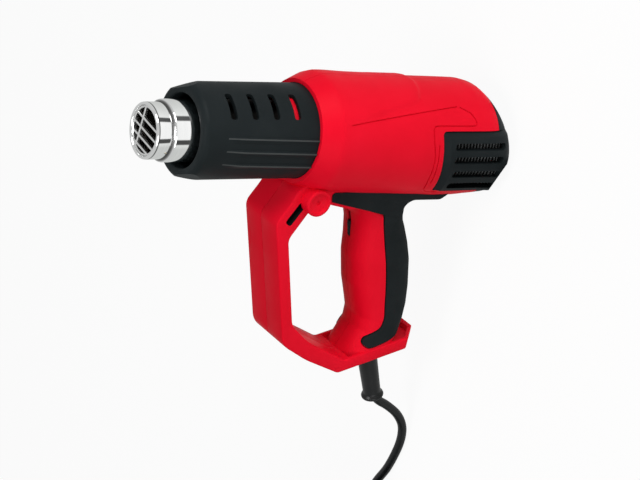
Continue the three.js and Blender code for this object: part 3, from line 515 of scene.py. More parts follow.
CORD_RADIUS = 3.1
RELIEF_EXIT = (55.6, -155.0)
RELIEF_DIP = math.radians(22.4)
RELIEF_LENGTH = 42.5
WIND_AT = (-306.0, -20.0)
WIND_INNER = 27.0
WIND_LAYERS = 4
WIND_LOOPS = 2
PITCH = 2 * CORD_RADIUS + 0.6
WIND_OUTER = WIND_INNER + WIND_LOOPS * PITCH
TIE_THICK = 1.2
TIE_GAP = 0.8
TIE_HALF = 4.0
TIE_TURN = 215
WIND_FLOOR = 0.1 + TIE_THICK + TIE_GAP + CORD_RADIUS
PLUG_AT = (-365.0, -12.0)
PLUG_Z = 9.3
PLUG_LENGTH = 46
PLUG_POWER = 2.4
PIN_OFFSET = 9.5
LEAD_START = (RELIEF_LENGTH - 1.4, 1.6)


def relief_point(s, drop=0.0):
    x = RELIEF_EXIT[1] - s * math.cos(RELIEF_DIP) + drop * math.sin(RELIEF_DIP)
    z = RELIEF_EXIT[0] - s * math.sin(RELIEF_DIP) - drop * math.cos(RELIEF_DIP)
    return (x, 0.0, z)


def between(t, start, end, first, last):
    return (end - t) / (end - start) * first + (t - start) / (end - start) * last


# Curve through points with even spacing along it
def flowing(points, count):
    points = [np.array(p, float) for p in points]
    points = [2 * points[0] - points[1]] + points + [2 * points[-1] - points[-2]]
    out = []
    for i in range(1, len(points) - 2):
        four = points[i - 1:i + 3]
        gaps = [max(np.linalg.norm(b - a), 1e-6) ** 0.5 for a, b in zip(four[:-1], four[1:])]
        t0, t1, t2, t3 = np.cumsum([0.0, *gaps])
        for t in np.linspace(t1, t2, 40, endpoint=False):
            a1 = between(t, t0, t1, four[0], four[1])
            a2 = between(t, t1, t2, four[1], four[2])
            a3 = between(t, t2, t3, four[2], four[3])
            b1 = between(t, t0, t2, a1, a2)
            b2 = between(t, t1, t3, a2, a3)
            out.append(between(t, t1, t2, b1, b2))
    out.append(points[-2])
    out = np.array(out)
    run = np.concatenate([[0], np.cumsum(np.linalg.norm(np.diff(out, axis=0), axis=1))])
    even = np.linspace(0, run[-1], count)
    return np.stack([np.interp(even, run, out[:, k]) for k in range(3)], 1)


def wound_points(per_turn):
    out = []
    turns = WIND_LAYERS * WIND_LOOPS
    for i in range(turns * per_turn + 1):
        t = i / per_turn
        layer = min(int(t // WIND_LOOPS), WIND_LAYERS - 1)
        part = t - layer * WIND_LOOPS
        radius = WIND_OUTER - PITCH * part if layer % 2 == 0 else WIND_INNER + PITCH * part
        level = float(layer)
        near = round(t / WIND_LOOPS)
        off = t - near * WIND_LOOPS
        if 0 < near < WIND_LAYERS and abs(off) < 0.25:
            level = near - 0.5 + 0.5 * math.sin(off * 2 * math.pi)
        turn = math.pi / 2 + t * 2 * math.pi
        out.append((
            WIND_AT[0] + radius * math.cos(turn),
            WIND_AT[1] + radius * math.sin(turn),
            WIND_FLOOR + level * PITCH,
        ))
    return np.array(out)


def lead_route():
    start = np.array([WIND_AT[0], WIND_AT[1] + WIND_OUTER, WIND_FLOOR])
    free = flowing([
        relief_point(*LEAD_START),
        relief_point(RELIEF_LENGTH + 4.5, 3.0),
        (-203.4, 0, 24.4),
        (-211.4, 0, 13.6),
        (-221, 0, 6.6),
        (-234, 1, 3.7),
        (-258, 7, 3.7),
        (-275, 15, 4.2),
        start + (17, -1.4, -0.3),
        start + (0.6, 0, 0),
    ], 60)
    wound = wound_points(48)
    last = wound[-1]
    end = flowing([
        last + (-0.6, 0, 0),
        last + (-9, 0, -0.3),
        (-330, 20.2, 23.8),
        (-346, 16.2, 19),
        (-357.6, 8.4, 13.8),
        (PLUG_AT[0] + 1.4, PLUG_AT[1] + 12, PLUG_Z + 0.8),
        (PLUG_AT[0], PLUG_AT[1] + 0.6, PLUG_Z),
    ], 40)
    return np.concatenate([free, wound, end])


def build_lead():
    route = lead_route() * MM
    data = bpy.data.curves.new("lead", "CURVE")
    data.dimensions = "3D"
    data.bevel_depth = CORD_RADIUS * MM
    data.bevel_resolution = 5
    data.use_fill_caps = True
    spline = data.splines.new("POLY")
    spline.points.add(len(route) - 1)
    spline.points.foreach_set("co", np.concatenate([route, np.ones((len(route), 1))], 1).ravel())
    spline.use_smooth = True
    lead = linked("lead", data)
    data.materials.append(LOOK["lead"])

    turn = Matrix.Rotation(-math.pi / 2 - RELIEF_DIP, 4, "Y")
    place = Matrix.Translation((RELIEF_EXIT[1] * MM, 0, RELIEF_EXIT[0] * MM)) @ turn
    end = RELIEF_LENGTH
    rear = end - 2.8
    relief = turned("relief", [
        (0.0, -9.6), (8.4, -9.6), (8.4, -7.4), (6.95, -7.0), (6.9, 3.0), (6.75, 8.0), (6.5, 18.0),
        (6.25, 28.0), (6.05, rear - 2.0), (6.1, rear - 1.0), (6.8, rear - 0.2), (7.4, rear + 0.4),
        (7.7, rear + 1.2), (7.7, end - 1.3), (7.45, end - 0.5), (6.9, end), (5.7, end), (5.4, end - 0.5),
        (5.3, end - 2.0), (0.0, end - 2.2),
    ], "lead", 64, 40)
    relief.data.transform(place)
    settle(relief, "cord_rubber", "strain_relief")

    plug = build_plug()
    tie = build_tie()
    settle(lead, "cord_rubber", "power_cord", "cord_coil", "plug_lead")


def build_plug():
    stations = [
        (0, 4.6, 4.6), (0.8, 5.2, 5.2), (4, 5.2, 5.2), (4.6, 4.7, 4.7), (6.2, 4.7, 4.7), (6.8, 5.3, 5.3),
        (10, 5.4, 5.3), (12, 5.8, 5.6), (16, 8.0, 6.4), (20, 11.0, 7.4), (25, 15.2, 8.4), (29, 17.3, 8.95),
        (33, 17.5, 9.0), (34.5, 17.2, 8.8), (35.5, 17.2, 8.8), (37, 17.5, 9.0), (44, 17.5, 9.0),
        (45.4, 16.8, 8.4), (PLUG_LENGTH, 16.0, 7.6),
    ]
    a = np.linspace(0, 2 * math.pi, 64, endpoint=False)
    rings = []
    for s, wide, tall in stations:
        x = PLUG_AT[0] + wide * power(np.cos(a), PLUG_POWER)
        z = PLUG_Z + tall * power(np.sin(a), PLUG_POWER)
        rings.append(np.stack([x, np.full_like(x, PLUG_AT[1] - s), z], 1))
    body = grid_solid("plug", rings, "lead", 40)
    pieces = [body]
    settle(body, "cord_rubber", "plug_body")
    for i, side in enumerate((-1, 1)):
        pin = turned("plug_pin_%d_turned" % (i + 1), [
            (0.0, 0.3), (2.4, 0.3), (2.4, 9.4), (2.38, 9.6), (2.38, 17.6), (2.1, 18.6), (1.5, 19.1),
            (0.0, 19.3),
        ], "brass", 40)
        pin.data.transform(Matrix.Rotation(math.pi / 2, 4, "X"))
        place = Vector((PLUG_AT[0] + side * PIN_OFFSET, PLUG_AT[1] - PLUG_LENGTH, PLUG_Z))
        pin.data.transform(Matrix.Translation(place * MM))
        settle(pin, "brass", "plug_pin_%d" % (i + 1))
        pieces.append(pin)
    return pieces


# Strap tie round the wound length
def build_tie():
    drift = PITCH * (TIE_TURN - 90) / 360
    inner = WIND_INNER + drift - CORD_RADIUS - TIE_GAP
    outer = WIND_OUTER - drift + CORD_RADIUS + TIE_GAP
    low = WIND_FLOOR - CORD_RADIUS - TIE_GAP
    high = WIND_FLOOR + (WIND_LAYERS - 1) * PITCH + CORD_RADIUS + TIE_GAP
    rings = []
    for grow, radius in ((0.0, 3.0), (TIE_THICK, 4.0)):
        rings.append(oblong(inner - grow, outer + grow, low - grow, high + grow, radius, 6))
    points = [(r, y, z) for ring in rings for y in (-TIE_HALF, TIE_HALF) for r, z in ring]
    n = len(rings[0])
    faces = []
    for i in range(n):
        k = (i + 1) % n
        faces += [(i, k, n + k, n + i), (2 * n + i, 2 * n + k, 3 * n + k, 3 * n + i)]
        faces += [(i, k, 2 * n + k, 2 * n + i), (n + i, n + k, 3 * n + k, 3 * n + i)]
    tie = make("tie", points, faces, "black")
    turn = Matrix.Rotation(math.radians(TIE_TURN), 4, "Z")
    tie.data.transform(Matrix.Translation((MM * WIND_AT[0], MM * WIND_AT[1], 0)) @ turn)
    settle(tie, "black_plastic", "cord_tie")
    return tie


build_lead()


# Barrel

# Reach of the cutting tools past the outside
FAR = 60
BARREL_FRONT = 152.5
BARREL_POWER = 2.08
# Height, then reach to the top, the bottom and the side
BODY = [
    (BARREL_FRONT, 32, 32, 32), (140, 37.4, 37.5, 37.4), (132, 37.2, 38.0, 37.4), (117, 36.0, 39.0, 36.8),
    (100, 35.1, 40.0, 36.4), (72, 35.0, 41.7, 35.9), (65, 35.0, 42.1, 35.5), (45, 34.8, 42.9, 35.2),
    (29, 34.5, 42.4, 35.2), (20, 32.6, 41.4, 35.2), (12, 27.4, 39.6, 34.9), (6, 21.4, 36.6, 34),
    (2.2, 14, 32.4, 32.4), (0, 8, 29, 29.5),
]
BODY_AT, BODY_SOFT = smooth_table(BODY, 0.5, 1.5)
TAIL_HEIGHTS = (0, 6, 12, 20, 30)
TAIL_POWERS = (2.9, 2.85, 2.35, 2.12, BARREL_POWER)
CAP_BAND = 14.8
BAND_GAP = 0.15
SOCKET_FLOOR = 143
SOCKET_RADIUS = 29.75
GROOVE_RADIUS = 0.55
GROOVE_SINK = 0.25


# Reach of the barrel from its axis at a height, for angles from +X towards +Y
def reach(z, angles):
    top, bottom, side = [np.interp(z, BODY_AT, BODY_SOFT[:, k]) for k in range(3)]
    t = np.linspace(-math.pi, math.pi, 721)
    # The lower half turns boxier towards the tail
    boxy = np.where(np.cos(t) < 0, np.interp(z, TAIL_HEIGHTS, TAIL_POWERS), BARREL_POWER)
    x = (top - bottom) / 2 + (top + bottom) / 2 * power(np.cos(t), boxy)
    y = side * power(np.sin(t), boxy)
    turn = np.arctan2(y, x)
    order = np.argsort(turn)
    turn = turn[order]
    far = np.hypot(x, y)[order]
    wrapped = (np.asarray(angles) + math.pi) % (2 * math.pi) - math.pi
    return np.interp(wrapped, turn, far, period=2 * math.pi)


# Raised saddle on top, with a sloped border that fades out towards the front
SADDLE_FRONT = 139
SADDLE_REAR = 72.0
SADDLE_RADIUS = 35.2
SADDLE_RISE = 1.3
SADDLE_SLOPE = 3.4
SADDLE_FADE = 42
SADDLE = [
    (SADDLE_FRONT, 24.5), (132.9, 27.2), (84.9, 48.7), (80.2, 51.4), (77.2, 56), (74.0, 68), (72.2, 81.2),
    (SADDLE_REAR, 90),
]


def saddle_height(z, angles):
    line = np.array([(a, math.radians(b) * SADDLE_RADIUS) for a, b in SADDLE])
    lift = np.degrees(np.asarray(angles)) + 90
    lift = (lift + 180) % 360 - 180
    lift = np.where(lift > 90, 180 - lift, lift)
    q = np.stack([np.full_like(lift, z), np.radians(lift) * SADDLE_RADIUS], 1)
    best = np.full(len(q), 1e9)
    for a, b in zip(line[:-1], line[1:]):
        d = b - a
        t = np.clip(((q - a) @ d) / (d @ d), 0, 1)
        best = np.minimum(best, np.linalg.norm(q - a - t[:, None] * d, axis=1))
    edge = np.interp(z, line[::-1, 0], line[::-1, 1])
    inside = (q[:, 1] > edge) & (z > SADDLE_REAR)
    signed = np.where(inside, best, -best)
    rise = np.clip((signed + SADDLE_SLOPE / 2) / SADDLE_SLOPE, 0, 1)
    rise = rise * rise * (3 - 2 * rise)
    return SADDLE_RISE * rise * np.clip((SADDLE_FRONT - z) / SADDLE_FADE, 0, 1)


# Tool for a groove along pairs of height and angle above the side
def barrel_groove(route):
    points = []
    for z, above in subdivided(route, 1.2, 0.61, 2) + [route[-1]]:
        a = math.radians(above) - math.pi / 2
        r = float(reach(z, np.array([a]))[0] + saddle_height(z, np.array([a]))[0]) - GROOVE_SINK
        points.append(polar(r, a, z))
    return tube("groove", points, GROOVE_RADIUS, "red", 8)


def barrel_rings(low, high, step):
    angles = np.linspace(0, 2 * math.pi, 192, endpoint=False)
    rings = []
    for z in np.append(np.arange(low, high - step / 2, step), high):
        r = reach(z, angles) + saddle_height(z, angles)
        rings.append(np.stack([r * np.cos(angles), r * np.sin(angles), np.full_like(r, z)], 1))
    return rings


PANEL_TOP = 11.5
PANEL_BOTTOM = -31.5
PANEL_FLOOR = 19.0
PANEL_FRONT = 59.55
PANEL_LEAN = 0.188


# Front edge of the intake panel, which leans with the height
def panel_front(x):
    return PANEL_FRONT + PANEL_LEAN * x


# The window tool's near-black look goes onto the cut walls as painted shade
def panel_window(side, rear):
    low, high = PANEL_BOTTOM + 0.3, PANEL_TOP + 0.3
    front = [(panel_front(low) + 0.4, low, 2), (panel_front(high) + 0.4, high, 3.4)]
    corners = [(rear, low, 0), *front, (rear, high, 0)]
    return slab("window", rounded(corners, 0, 5), *sided(side, PANEL_FLOOR, FAR), "dark")


WELL_RADIUS = 3.3
WELL_DEPTH = 8
TOWER_AT = (139.8, -39.7)
TOWER_RADIUS = 8.15
SCREWS = [(*TOWER_AT, 19), (128, -138, 19), (98, -154, 19), (80, -95, 17), (139, 31.8, 19), (24, 26, 21)]


def screw_wells(*picked):
    wells = []
    for z, x, side in [SCREWS[i] for i in picked]:
        wells.append(bar("well", (x, side - WELL_DEPTH, z), (x, FAR, z), WELL_RADIUS, "red", 28))
    return wells


# Grooves as pairs of height and angle above the side
GROOVES = [
    [(134.4, 25.4), (48.7, 46.2)],
    [
        (46.4, 45.7), (38.5, 39.5), (35.4, 33), (34.4, 29), (34.7, 26.8), (35.8, 25.7), (38, 25.4),
        (66.2, 25.4), (68.6, 24.4), (69.8, 21), (68.5, 7.2), (65.2, -12), (64.7, -20.8), (64, -34.2),
        (61.5, -49), (57.2, -53.5), (48.5, -53),
    ],
    [(64.2, 5.5), (62.2, -15.5), (60.2, -39)],
]


def build_barrel():
    barrel = grid_solid("barrel", barrel_rings(CAP_BAND + BAND_GAP, BARREL_FRONT, 1.4), "red")
    # Socket for the shroud, closed by a wall further in
    socket = bar("socket", (0, 0, SOCKET_FLOOR), (0, 0, 170), SOCKET_RADIUS, "red", 128)
    windows = [panel_window(side, -4) for side in (-1, 1)]
    combine(barrel, [socket, *windows, *screw_wells(4, 5)])
    grooves = [barrel_groove(route) for route in GROOVES]
    grooves += [barrel_groove([(z, 180 - a) for z, a in route]) for route in GROOVES]
    combine(barrel, grooves, angle=38)
    return barrel


# Handle, grip, guard and base

HANDLE_TOP = -20
HANDLE_END = -160
HANDLE_POWER = 2.6
# X, then middle, half depth and half width of the section
HANDLE = [
    (HANDLE_TOP, 76, 48, 18), (-36, 75, 52, 20.5), (-40.2, 74.5, 44, 19.8), (-41, 83, 27.5, 19.7),
    (-42, 82, 26, 19.6), (-44, 82, 23.5, 19.4), (-46, 82, 21.5, 19.1), (-49, 79.5, 20.5, 18.6),
    (-54, 77.4, 18.8, 17.8), (-58, 75.95, 18.65, 17.4), (-62, 74, 19.2, 17.2), (-74, 69.9, 21.2, 17.2),
    (-86, 66.8, 22.8, 17.6), (-105, 62.1, 22.4, 17.6), (-118, 58.6, 20.4, 17.6), (-128, 56.8, 17.9, 18),
    (-137, 57.2, 16.9, 18.4), (-146, 60, 18.4, 18.6), (-153, 62, 20, 18.6), (HANDLE_END, 63, 21, 18.6),
]
HANDLE_AT, HANDLE_SOFT = smooth_table(HANDLE, 0.25, 0.7)


def handle_solid(name, grow, low, high, look):
    a = np.linspace(0, 2 * math.pi, 112, endpoint=False)
    rings = []
    for x in np.append(np.arange(low, high - 0.4, 0.8), high):
        middle, depth, side = [np.interp(x, HANDLE_AT, HANDLE_SOFT[:, k]) for k in range(3)]
        z = middle + (depth + grow) * power(np.cos(a), HANDLE_POWER)
        y = (side + grow) * power(np.sin(a), HANDLE_POWER)
        rings.append(np.stack([np.full_like(z, x), y, z], 1))
    return grid_solid(name, rings, look)


# Corners of an outline: Z, X and the room for rounding
GRIP = [
    (126.4, -34.3, 5.5), (125.3, -40.5, 0.6), (80.9, -50.5, 3), (66.6, -93, 20), (59.8, -126, 5),
    (61.2, -133, 3), (71.6, -141, 2.2), (72.2, -145, 2.2), (67.5, -147.3, 2), (22, -131.2, 2), (5, -125, 0),
    (5, -33, 0),
]
GRIP_TOP = -30
GRIP_END = -152
GRIP_GAP = 0.7
GRIP_RISE = 0.45
CORE_SINK = 1.3


# Outline with each corner moved outwards
def grown(corners, amount):
    flat = np.array([corner[:2] for corner in corners], float)
    back = np.roll(flat, 1, axis=0)
    edges = flat - back
    area = (back[:, 0] * flat[:, 1] - flat[:, 0] * back[:, 1]).sum()
    out = np.sign(area) * np.stack([edges[:, 1], -edges[:, 0]], 1) / np.linalg.norm(edges, axis=1)[:, None]
    after = np.roll(out, -1, axis=0)
    way = (out + after) / np.maximum(0.3, 1 + (out * after).sum(1))[:, None]
    return [(*place, corner[2]) for place, corner in zip(flat + amount * way, corners)]


FLANGE = [
    (131, -28, 0), (131, -47, 0), (82.6, -50.4, 0), (70, -52, 0), (66.6, -52.3, 1), (67.3, -47.9, 2),
    (67, -45.4, 2), (64.9, -42.6, 2), (60.8, -40.7, 2), (39.2, -40.8, 2), (33.6, -37.1, 2), (30, -28, 0),
]
FLANGE_HALF = 19.5

BASE_REAR = 26.0
BASE_SHOULDER = 38.0
BASE_HALF = 20.0
BASE_FLAT = 6.5
GUARD_HALF = 19.0
GUARD = [
    (135, -20, 0), (152, -33, 3), (154.6, -40, 4), (163.4, -54.2, 4), (138, -140, 6), (116.6, -152.2, 5),
    (89, -163.6, 2), (BASE_REAR - 14, -142.6, 0), (BASE_REAR - 14, -134.4, 0), (86, -154.2, 2.5),
    (100, -147.6, 4), (117, -139.8, 7), (133.7, -126.2, 4), (151.3, -65.6, 3.5), (136.4, -40.4, 3),
    (106, -47, 4), (100, -43, 0), (100, -20, 0),
]
TRAY = [(25, -141.8, 0), (81.6, -157, 1), (81.6, -118, 0), (25, -118, 0)]
UNDER = [(0, -138.2), (89, -162.7), (89, -200), (0, -200)]


# Base seen from below, with cut rear corners, as a tool that trims the guard and the tray in it
def plan_cut(half, shoulder, rear):
    flat = BASE_FLAT
    plan = [(175, half), (shoulder, half), (rear, flat), (rear, -flat), (shoulder, -half), (175, -half)]
    return prism("plan", [(-200, y, z) for z, y in plan], [(0, y, z) for z, y in plan], "red")


def guard_half(side):
    piece = slab("guard", rounded(GUARD, 0, 6), *sided(side, SPLIT, GUARD_HALF))
    combine(piece, [plan_cut(BASE_HALF, BASE_SHOULDER, BASE_REAR)], "INTERSECT")
    tray = slab("tray", rounded(TRAY, 0), *sided(side, 18, -2))
    combine(tray, [plan_cut(16.4, BASE_SHOULDER + 0.3, BASE_REAR + 3.5)], "INTERSECT")
    combine(piece, [tray])
    slant = (BASE_SHOULDER - BASE_REAR) / (BASE_HALF - BASE_FLAT)

    def share(middle):
        away = abs(middle.y)
        if away < 1:
            return 0.16
        rear_edge = BASE_REAR + max(0.0, slant * (away - BASE_FLAT))
        return 1.0 if away > GUARD_HALF - 0.5 or middle.z < rear_edge + 0.5 else 0.3

    round_edges(piece, 1.0, 3, share, 40)
    return piece


SLOT_AT = (150.6, -48.3)
SLOT_HALF = (8, 2.6)
SLOT_TURN = math.radians(-58)


# The slot tool's near-black look goes onto the cut walls as painted shade
def hang_slot():
    long, wide = SLOT_HALF
    outline = []
    for along, across in oblong(-long, long, -wide, wide, 1.9, 5):
        z = SLOT_AT[0] + along * math.cos(SLOT_TURN) - across * math.sin(SLOT_TURN)
        x = SLOT_AT[1] + along * math.sin(SLOT_TURN) + across * math.cos(SLOT_TURN)
        outline.append((z, x))
    return slab("slot", outline, -FAR, FAR, "dark")


RAKE = math.radians(15.9)
KEY_LONG = 5.5
KEY_WIDE = 1.4
KEY_TRAVEL = 7
KEY_GAP = 0.3
SWITCH_AT = (91.6, -67)
SWITCH_PLACE = Matrix.Translation((SWITCH_AT[1] * MM, 0, SWITCH_AT[0] * MM)) @ Matrix.Rotation(-RAKE, 4, "Y")


def switch_window():
    long, wide = KEY_LONG + KEY_GAP, KEY_WIDE + KEY_GAP
    window = block("window", (-long, -wide, -14), (long + KEY_TRAVEL, wide, 20))
    window.data.transform(SWITCH_PLACE)
    return window


FAN_REAR = 86.5
FAN_FRONT = 104.5
FAN_RADIUS = 31.2


# Room in the barrel for the fan
def fan_room():
    return bar("room", (0, 0, FAN_REAR), (0, 0, FAN_FRONT), FAN_RADIUS, "red", 96)


def build_housing():
    barrel = build_barrel()
    # The handle is cut back under the grips, which leaves a fine gap along their edges
    handle = handle_solid("handle", 0.0, HANDLE_END, HANDLE_TOP, "red")
    combine(handle, [slab("outline", rounded(grown(GRIP, GRIP_GAP), 0, 6), -FAR, FAR)])
    core = handle_solid("core", -CORE_SINK, HANDLE_END, HANDLE_TOP, "red")
    for loft in (handle, core):
        combine(loft, [switch_window(), slab("under", UNDER, -FAR, FAR), fan_room(), *screw_wells(3)])
    for side, hand in HANDS:
        guard = guard_half(side)
        combine(guard, [hang_slot(), fan_room()] + (screw_wells(0, 1, 2) if side > 0 else []))
        parts = [combine(half_of(barrel, "barrel_half", side), [fan_room()])]
        parts += [half_of(handle, "handle_half", side), half_of(core, "core_half", side), guard]
        z, x = TOWER_AT
        low, high = sided(side, SPLIT, GUARD_HALF - 0.1)
        tower = bar("tower", (x, low, z), (x, high, z), TOWER_RADIUS, "red", 64)
        combine(tower, [hang_slot()] + (screw_wells(0) if side > 0 else []))
        piece = merge("housing_" + hand, [*parts, tower])
        settle(piece, "red_plastic", hand + "_housing")
    for tool in (barrel, handle, core):
        bpy.data.objects.remove(tool, do_unlink=True)


def build_grips():
    grip = handle_solid("grip", GRIP_RISE, GRIP_END, GRIP_TOP, "soft")
    flange = slab("flange", rounded(FLANGE, 0, 6), -FLANGE_HALF, FLANGE_HALF, "soft")
    round_edges(flange, 0.6, 2, lambda middle: 1.0)
    combine(grip, [flange], "UNION", 38)
    combine(grip, [slab("outline", rounded(GRIP, 0, 6), -FAR, FAR, "soft")], "INTERSECT", 38)
    for side, hand in HANDS:
        piece = half_of(grip, "grip_" + hand, side)
        settle(piece, "soft_grip", hand + "_soft_grip")
    bpy.data.objects.remove(grip, do_unlink=True)


BOSS_AT = (139.6, -38.6)


def build_boss():
    disc = turned("boss_disc", [
        (0.0, 18.3), (8.75, 18.3), (8.75, 25.2), (8.6, 25.8), (8.2, 26.25), (7.6, 26.4), (6.9, 26.35),
        (6.5, 26.0), (6.2, 25.4), (5.7, 25.0), (1.9, 24.9), (1.6, 24.7), (1.4, 24.0), (0.0, 23.9),
    ], "red", 72, 40)
    disc.data.transform(Matrix.Rotation(math.pi / 2, 4, "X"))
    disc.data.transform(Matrix.Translation((BOSS_AT[1] * MM, 0, BOSS_AT[0] * MM)))
    settle(disc, "red_plastic", "boss_cover")


# Tail cap: rear band, and a slotted side panel with a sloped border over each intake

# X, rear end and front end
PANEL_SLOTS = [(2.4, 9.8, 51.6), (-6.6, 9.8, 50.3), (-16.8, 9.2, 48), (-26, 6.5, 46.8)]
PANEL_SLOT_HALF = 2.4
PANEL_RISE = 2.5
PANEL_SINK = 0.9
PANEL_WALL = 2.7
BORDER_FRONT = 5.0
BORDER_TOP = 3.2
BORDER_BOTTOM = 1.6
BORDER_REAR = 8
CAP_CUT_WAY = (0.341, 0.71, 0.616)
CAP_CUT_FAR = 25.3
NOTCHES = (-19, -7)
NOTCH_WIDE = 5
NOTCH_DEEP = 4
RIB_COUNT = 17
RIB_FIRST = 9.0
RIB_PITCH = 2.6
RIB_RADIUS = 0.55
RIB_SINK = 3.4


# Angle and reach of the barrel's side at an X and a height
def side_reach(x, z, side):
    angles = np.linspace(0.01, math.pi - 0.01, 720)
    heights = reach(z, angles) * np.cos(angles)
    angle = side * float(np.interp(-x, -heights, angles))
    return angle, float(reach(z, np.array([angle]))[0])


def panel(side):
    shares = np.concatenate([np.linspace(0.004, 0.88, 44), np.linspace(0.895, 1.0, 9)])
    low = np.linspace(PANEL_BOTTOM, PANEL_BOTTOM + 3, 6)
    high = np.linspace(PANEL_TOP - 3.4, PANEL_TOP, 8)
    xs = np.concatenate([low, np.linspace(PANEL_BOTTOM + 4, PANEL_TOP - 4.4, 34), high])
    outer = []
    inner = []
    for share in shares:
        for x in xs:
            z = share * panel_front(x)
            ahead = min(1.0, (panel_front(x) - z) / BORDER_FRONT)
            above = min(1.0, (PANEL_TOP - x) / BORDER_TOP)
            rise = 1 - math.hypot(1 - ahead, 1 - above)
            rise = max(0.0, min(rise, (x - PANEL_BOTTOM) / BORDER_BOTTOM))
            a, r = side_reach(x, z, side)
            outer.append(polar(r + (PANEL_RISE * rise - PANEL_SINK) * min(1.0, z / BORDER_REAR), a, z))
            inner.append(polar(r - PANEL_WALL, a, z))
    n, m = len(shares), len(xs)
    size = n * m
    faces = woven(n, m)
    faces += [tuple(size + k for k in face) for face in faces]
    rim = list(range(m)) + [i * m + m - 1 for i in range(1, n)]
    rim += [(n - 1) * m + j for j in range(m - 2, -1, -1)] + [i * m for i in range(n - 2, 0, -1)]
    for a, b in zip(rim, rim[1:] + rim[:1]):
        faces.append((a, b, size + b, size + a))
    piece = make("panel", outer + inner, faces, "black")
    cuts = []
    for x, low, high in PANEL_SLOTS:
        shape = oblong(low, high, x - PANEL_SLOT_HALF, x + PANEL_SLOT_HALF, PANEL_SLOT_HALF, 7)
        cuts.append(slab("cut", shape, *sided(side, 10, FAR), "black"))
    combine(piece, [*cuts, cap_cut(side)], angle=26)
    return piece


# Flat cut across the cap's lower rear edge on one side
def cap_cut(side):
    cut = block("cut", (-40, -FAR, -FAR), (0, FAR, FAR), "black")
    x, y, z = CAP_CUT_WAY
    way = Vector((x, -side * y, z)).normalized()
    turn = Vector((1, 0, 0)).rotation_difference(way).to_matrix().to_4x4()
    cut.data.transform(Matrix.Translation(way * -CAP_CUT_FAR * MM) @ turn)
    return cut


def build_cap():
    band = grid_solid("band", barrel_rings(0.0, CAP_BAND - BAND_GAP, 0.65), "black")
    combine(band, [cap_cut(-1)])
    combine(band, [cap_cut(1)])
    cuts = []
    for side in (-1, 1):
        near, far = sided(side, 11, 21)
        for x in NOTCHES:
            cuts.append(block("cut", (x, near, -1), (x + NOTCH_WIDE, far, NOTCH_DEEP), "black"))
    combine(band, cuts)
    combine(band, [panel_window(side, 4.5) for side in (-1, 1)])
    piece = merge("tail_cap", [band, panel(-1), panel(1)])
    settle(piece, "black_plastic", "rear_cap")


# Fine bars behind the panel's slots, coloured a lighter grey than the cap's black plastic as a painted
# highlight, on a near-black backing sheet of painted shade
def build_grids():
    for side, hand in HANDS:
        near, far = sided(side, PANEL_FLOOR + 0.3, PANEL_FLOOR + 1.2)
        parts = [block("backing", (PANEL_BOTTOM + 1, near, 6.2), (PANEL_TOP - 1, far, 53), "dark")]
        for k in range(RIB_COUNT):
            z = RIB_FIRST + RIB_PITCH * k
            points = []
            for x in np.linspace(PANEL_BOTTOM + 2.4, PANEL_TOP - 2.4, 22):
                a, r = side_reach(x, z, side)
                points.append(polar(r - RIB_SINK, a, z))
            parts.append(tube("rib", points, RIB_RADIUS, "grid", 8))
        piece = merge("grid_" + hand, parts)
        settle(piece, "black_plastic", hand + "_intake_grid")


# Nozzle shroud, outlet and grille

SHROUD_RADIUS = 29.4
SHROUD_BORE = 27.2
SHROUD_REAR = 143.3
SHROUD_FRONT = 233.0
SHROUD_TURN = math.radians(24)
SHROUD_FLATS = [(12.5, 4, SHROUD_TURN), (11, 3.5, SHROUD_TURN + math.pi)]
LIP = 3.8
MOUTH_RADIUS = 22.5
MOUTH_LIP = 1.2
VENT_FIRST = 167.7
VENT_PITCH = 15
VENT_SPAN = (33.5, 68.5)
VENT_HALF = 2.3
VENT_REACH = (24.0, 34.0)
RIDGES = [(10.9, 7.9), (-4.7, -8.4), (-22.6, -27.2)]
RIDGE_FRONT = 217
RIDGE_REAR = 153.0


# Tool for a side slot, bent round the barrel axis
def vent(side, middle):
    low, high = [math.radians(a) * SHROUD_RADIUS for a in VENT_SPAN]
    shape = oblong(low, high, -VENT_HALF, VENT_HALF, 2.0, 5)
    outline = subdivided(shape + shape[:1], 1.5)
    rings = []
    for r in VENT_REACH:
        rings.append([polar(r, side * (math.pi / 2 - p / SHROUD_RADIUS), middle + q) for p, q in outline])
    return grid_solid("cut", rings, "black")


# Side rib that swells from its front end, with a lighter crest strip that is a painted highlight
def ridge(side, first, last):
    rings = []
    crests = []
    for k in range(41):
        t = k / 40
        z = RIDGE_FRONT + (RIDGE_REAR - RIDGE_FRONT) * t
        size = min(1.0, t * 5)
        at = math.radians(first + (last - first) * t)
        section = [
            (-2.6, -0.8), (-2.6, -0.02), (-0.4, 1.15 * size), (0, 1.4 * size), (0.5, 1.35 * size),
            (1.4, 0.25 * size), (1.6, -0.04), (1.6, -0.8),
        ]
        crest = [(-0.1, 0.9), (0, 1.43), (0.5, 1.38), (0.8, 1.04), (0.6, 0.7)]
        crest = [(off, rise * size) for off, rise in crest]
        for shape, keep in ((section, rings), (crest, crests)):
            turns = [side * (math.pi / 2 - at - off / SHROUD_RADIUS) for off, rise in shape]
            keep.append([polar(SHROUD_RADIUS + rise, a, z) for a, (off, rise) in zip(turns, shape)])
    return [grid_solid("ridge", rings, "black", 50), grid_solid("crest", crests, "crest_highlight", 50)]


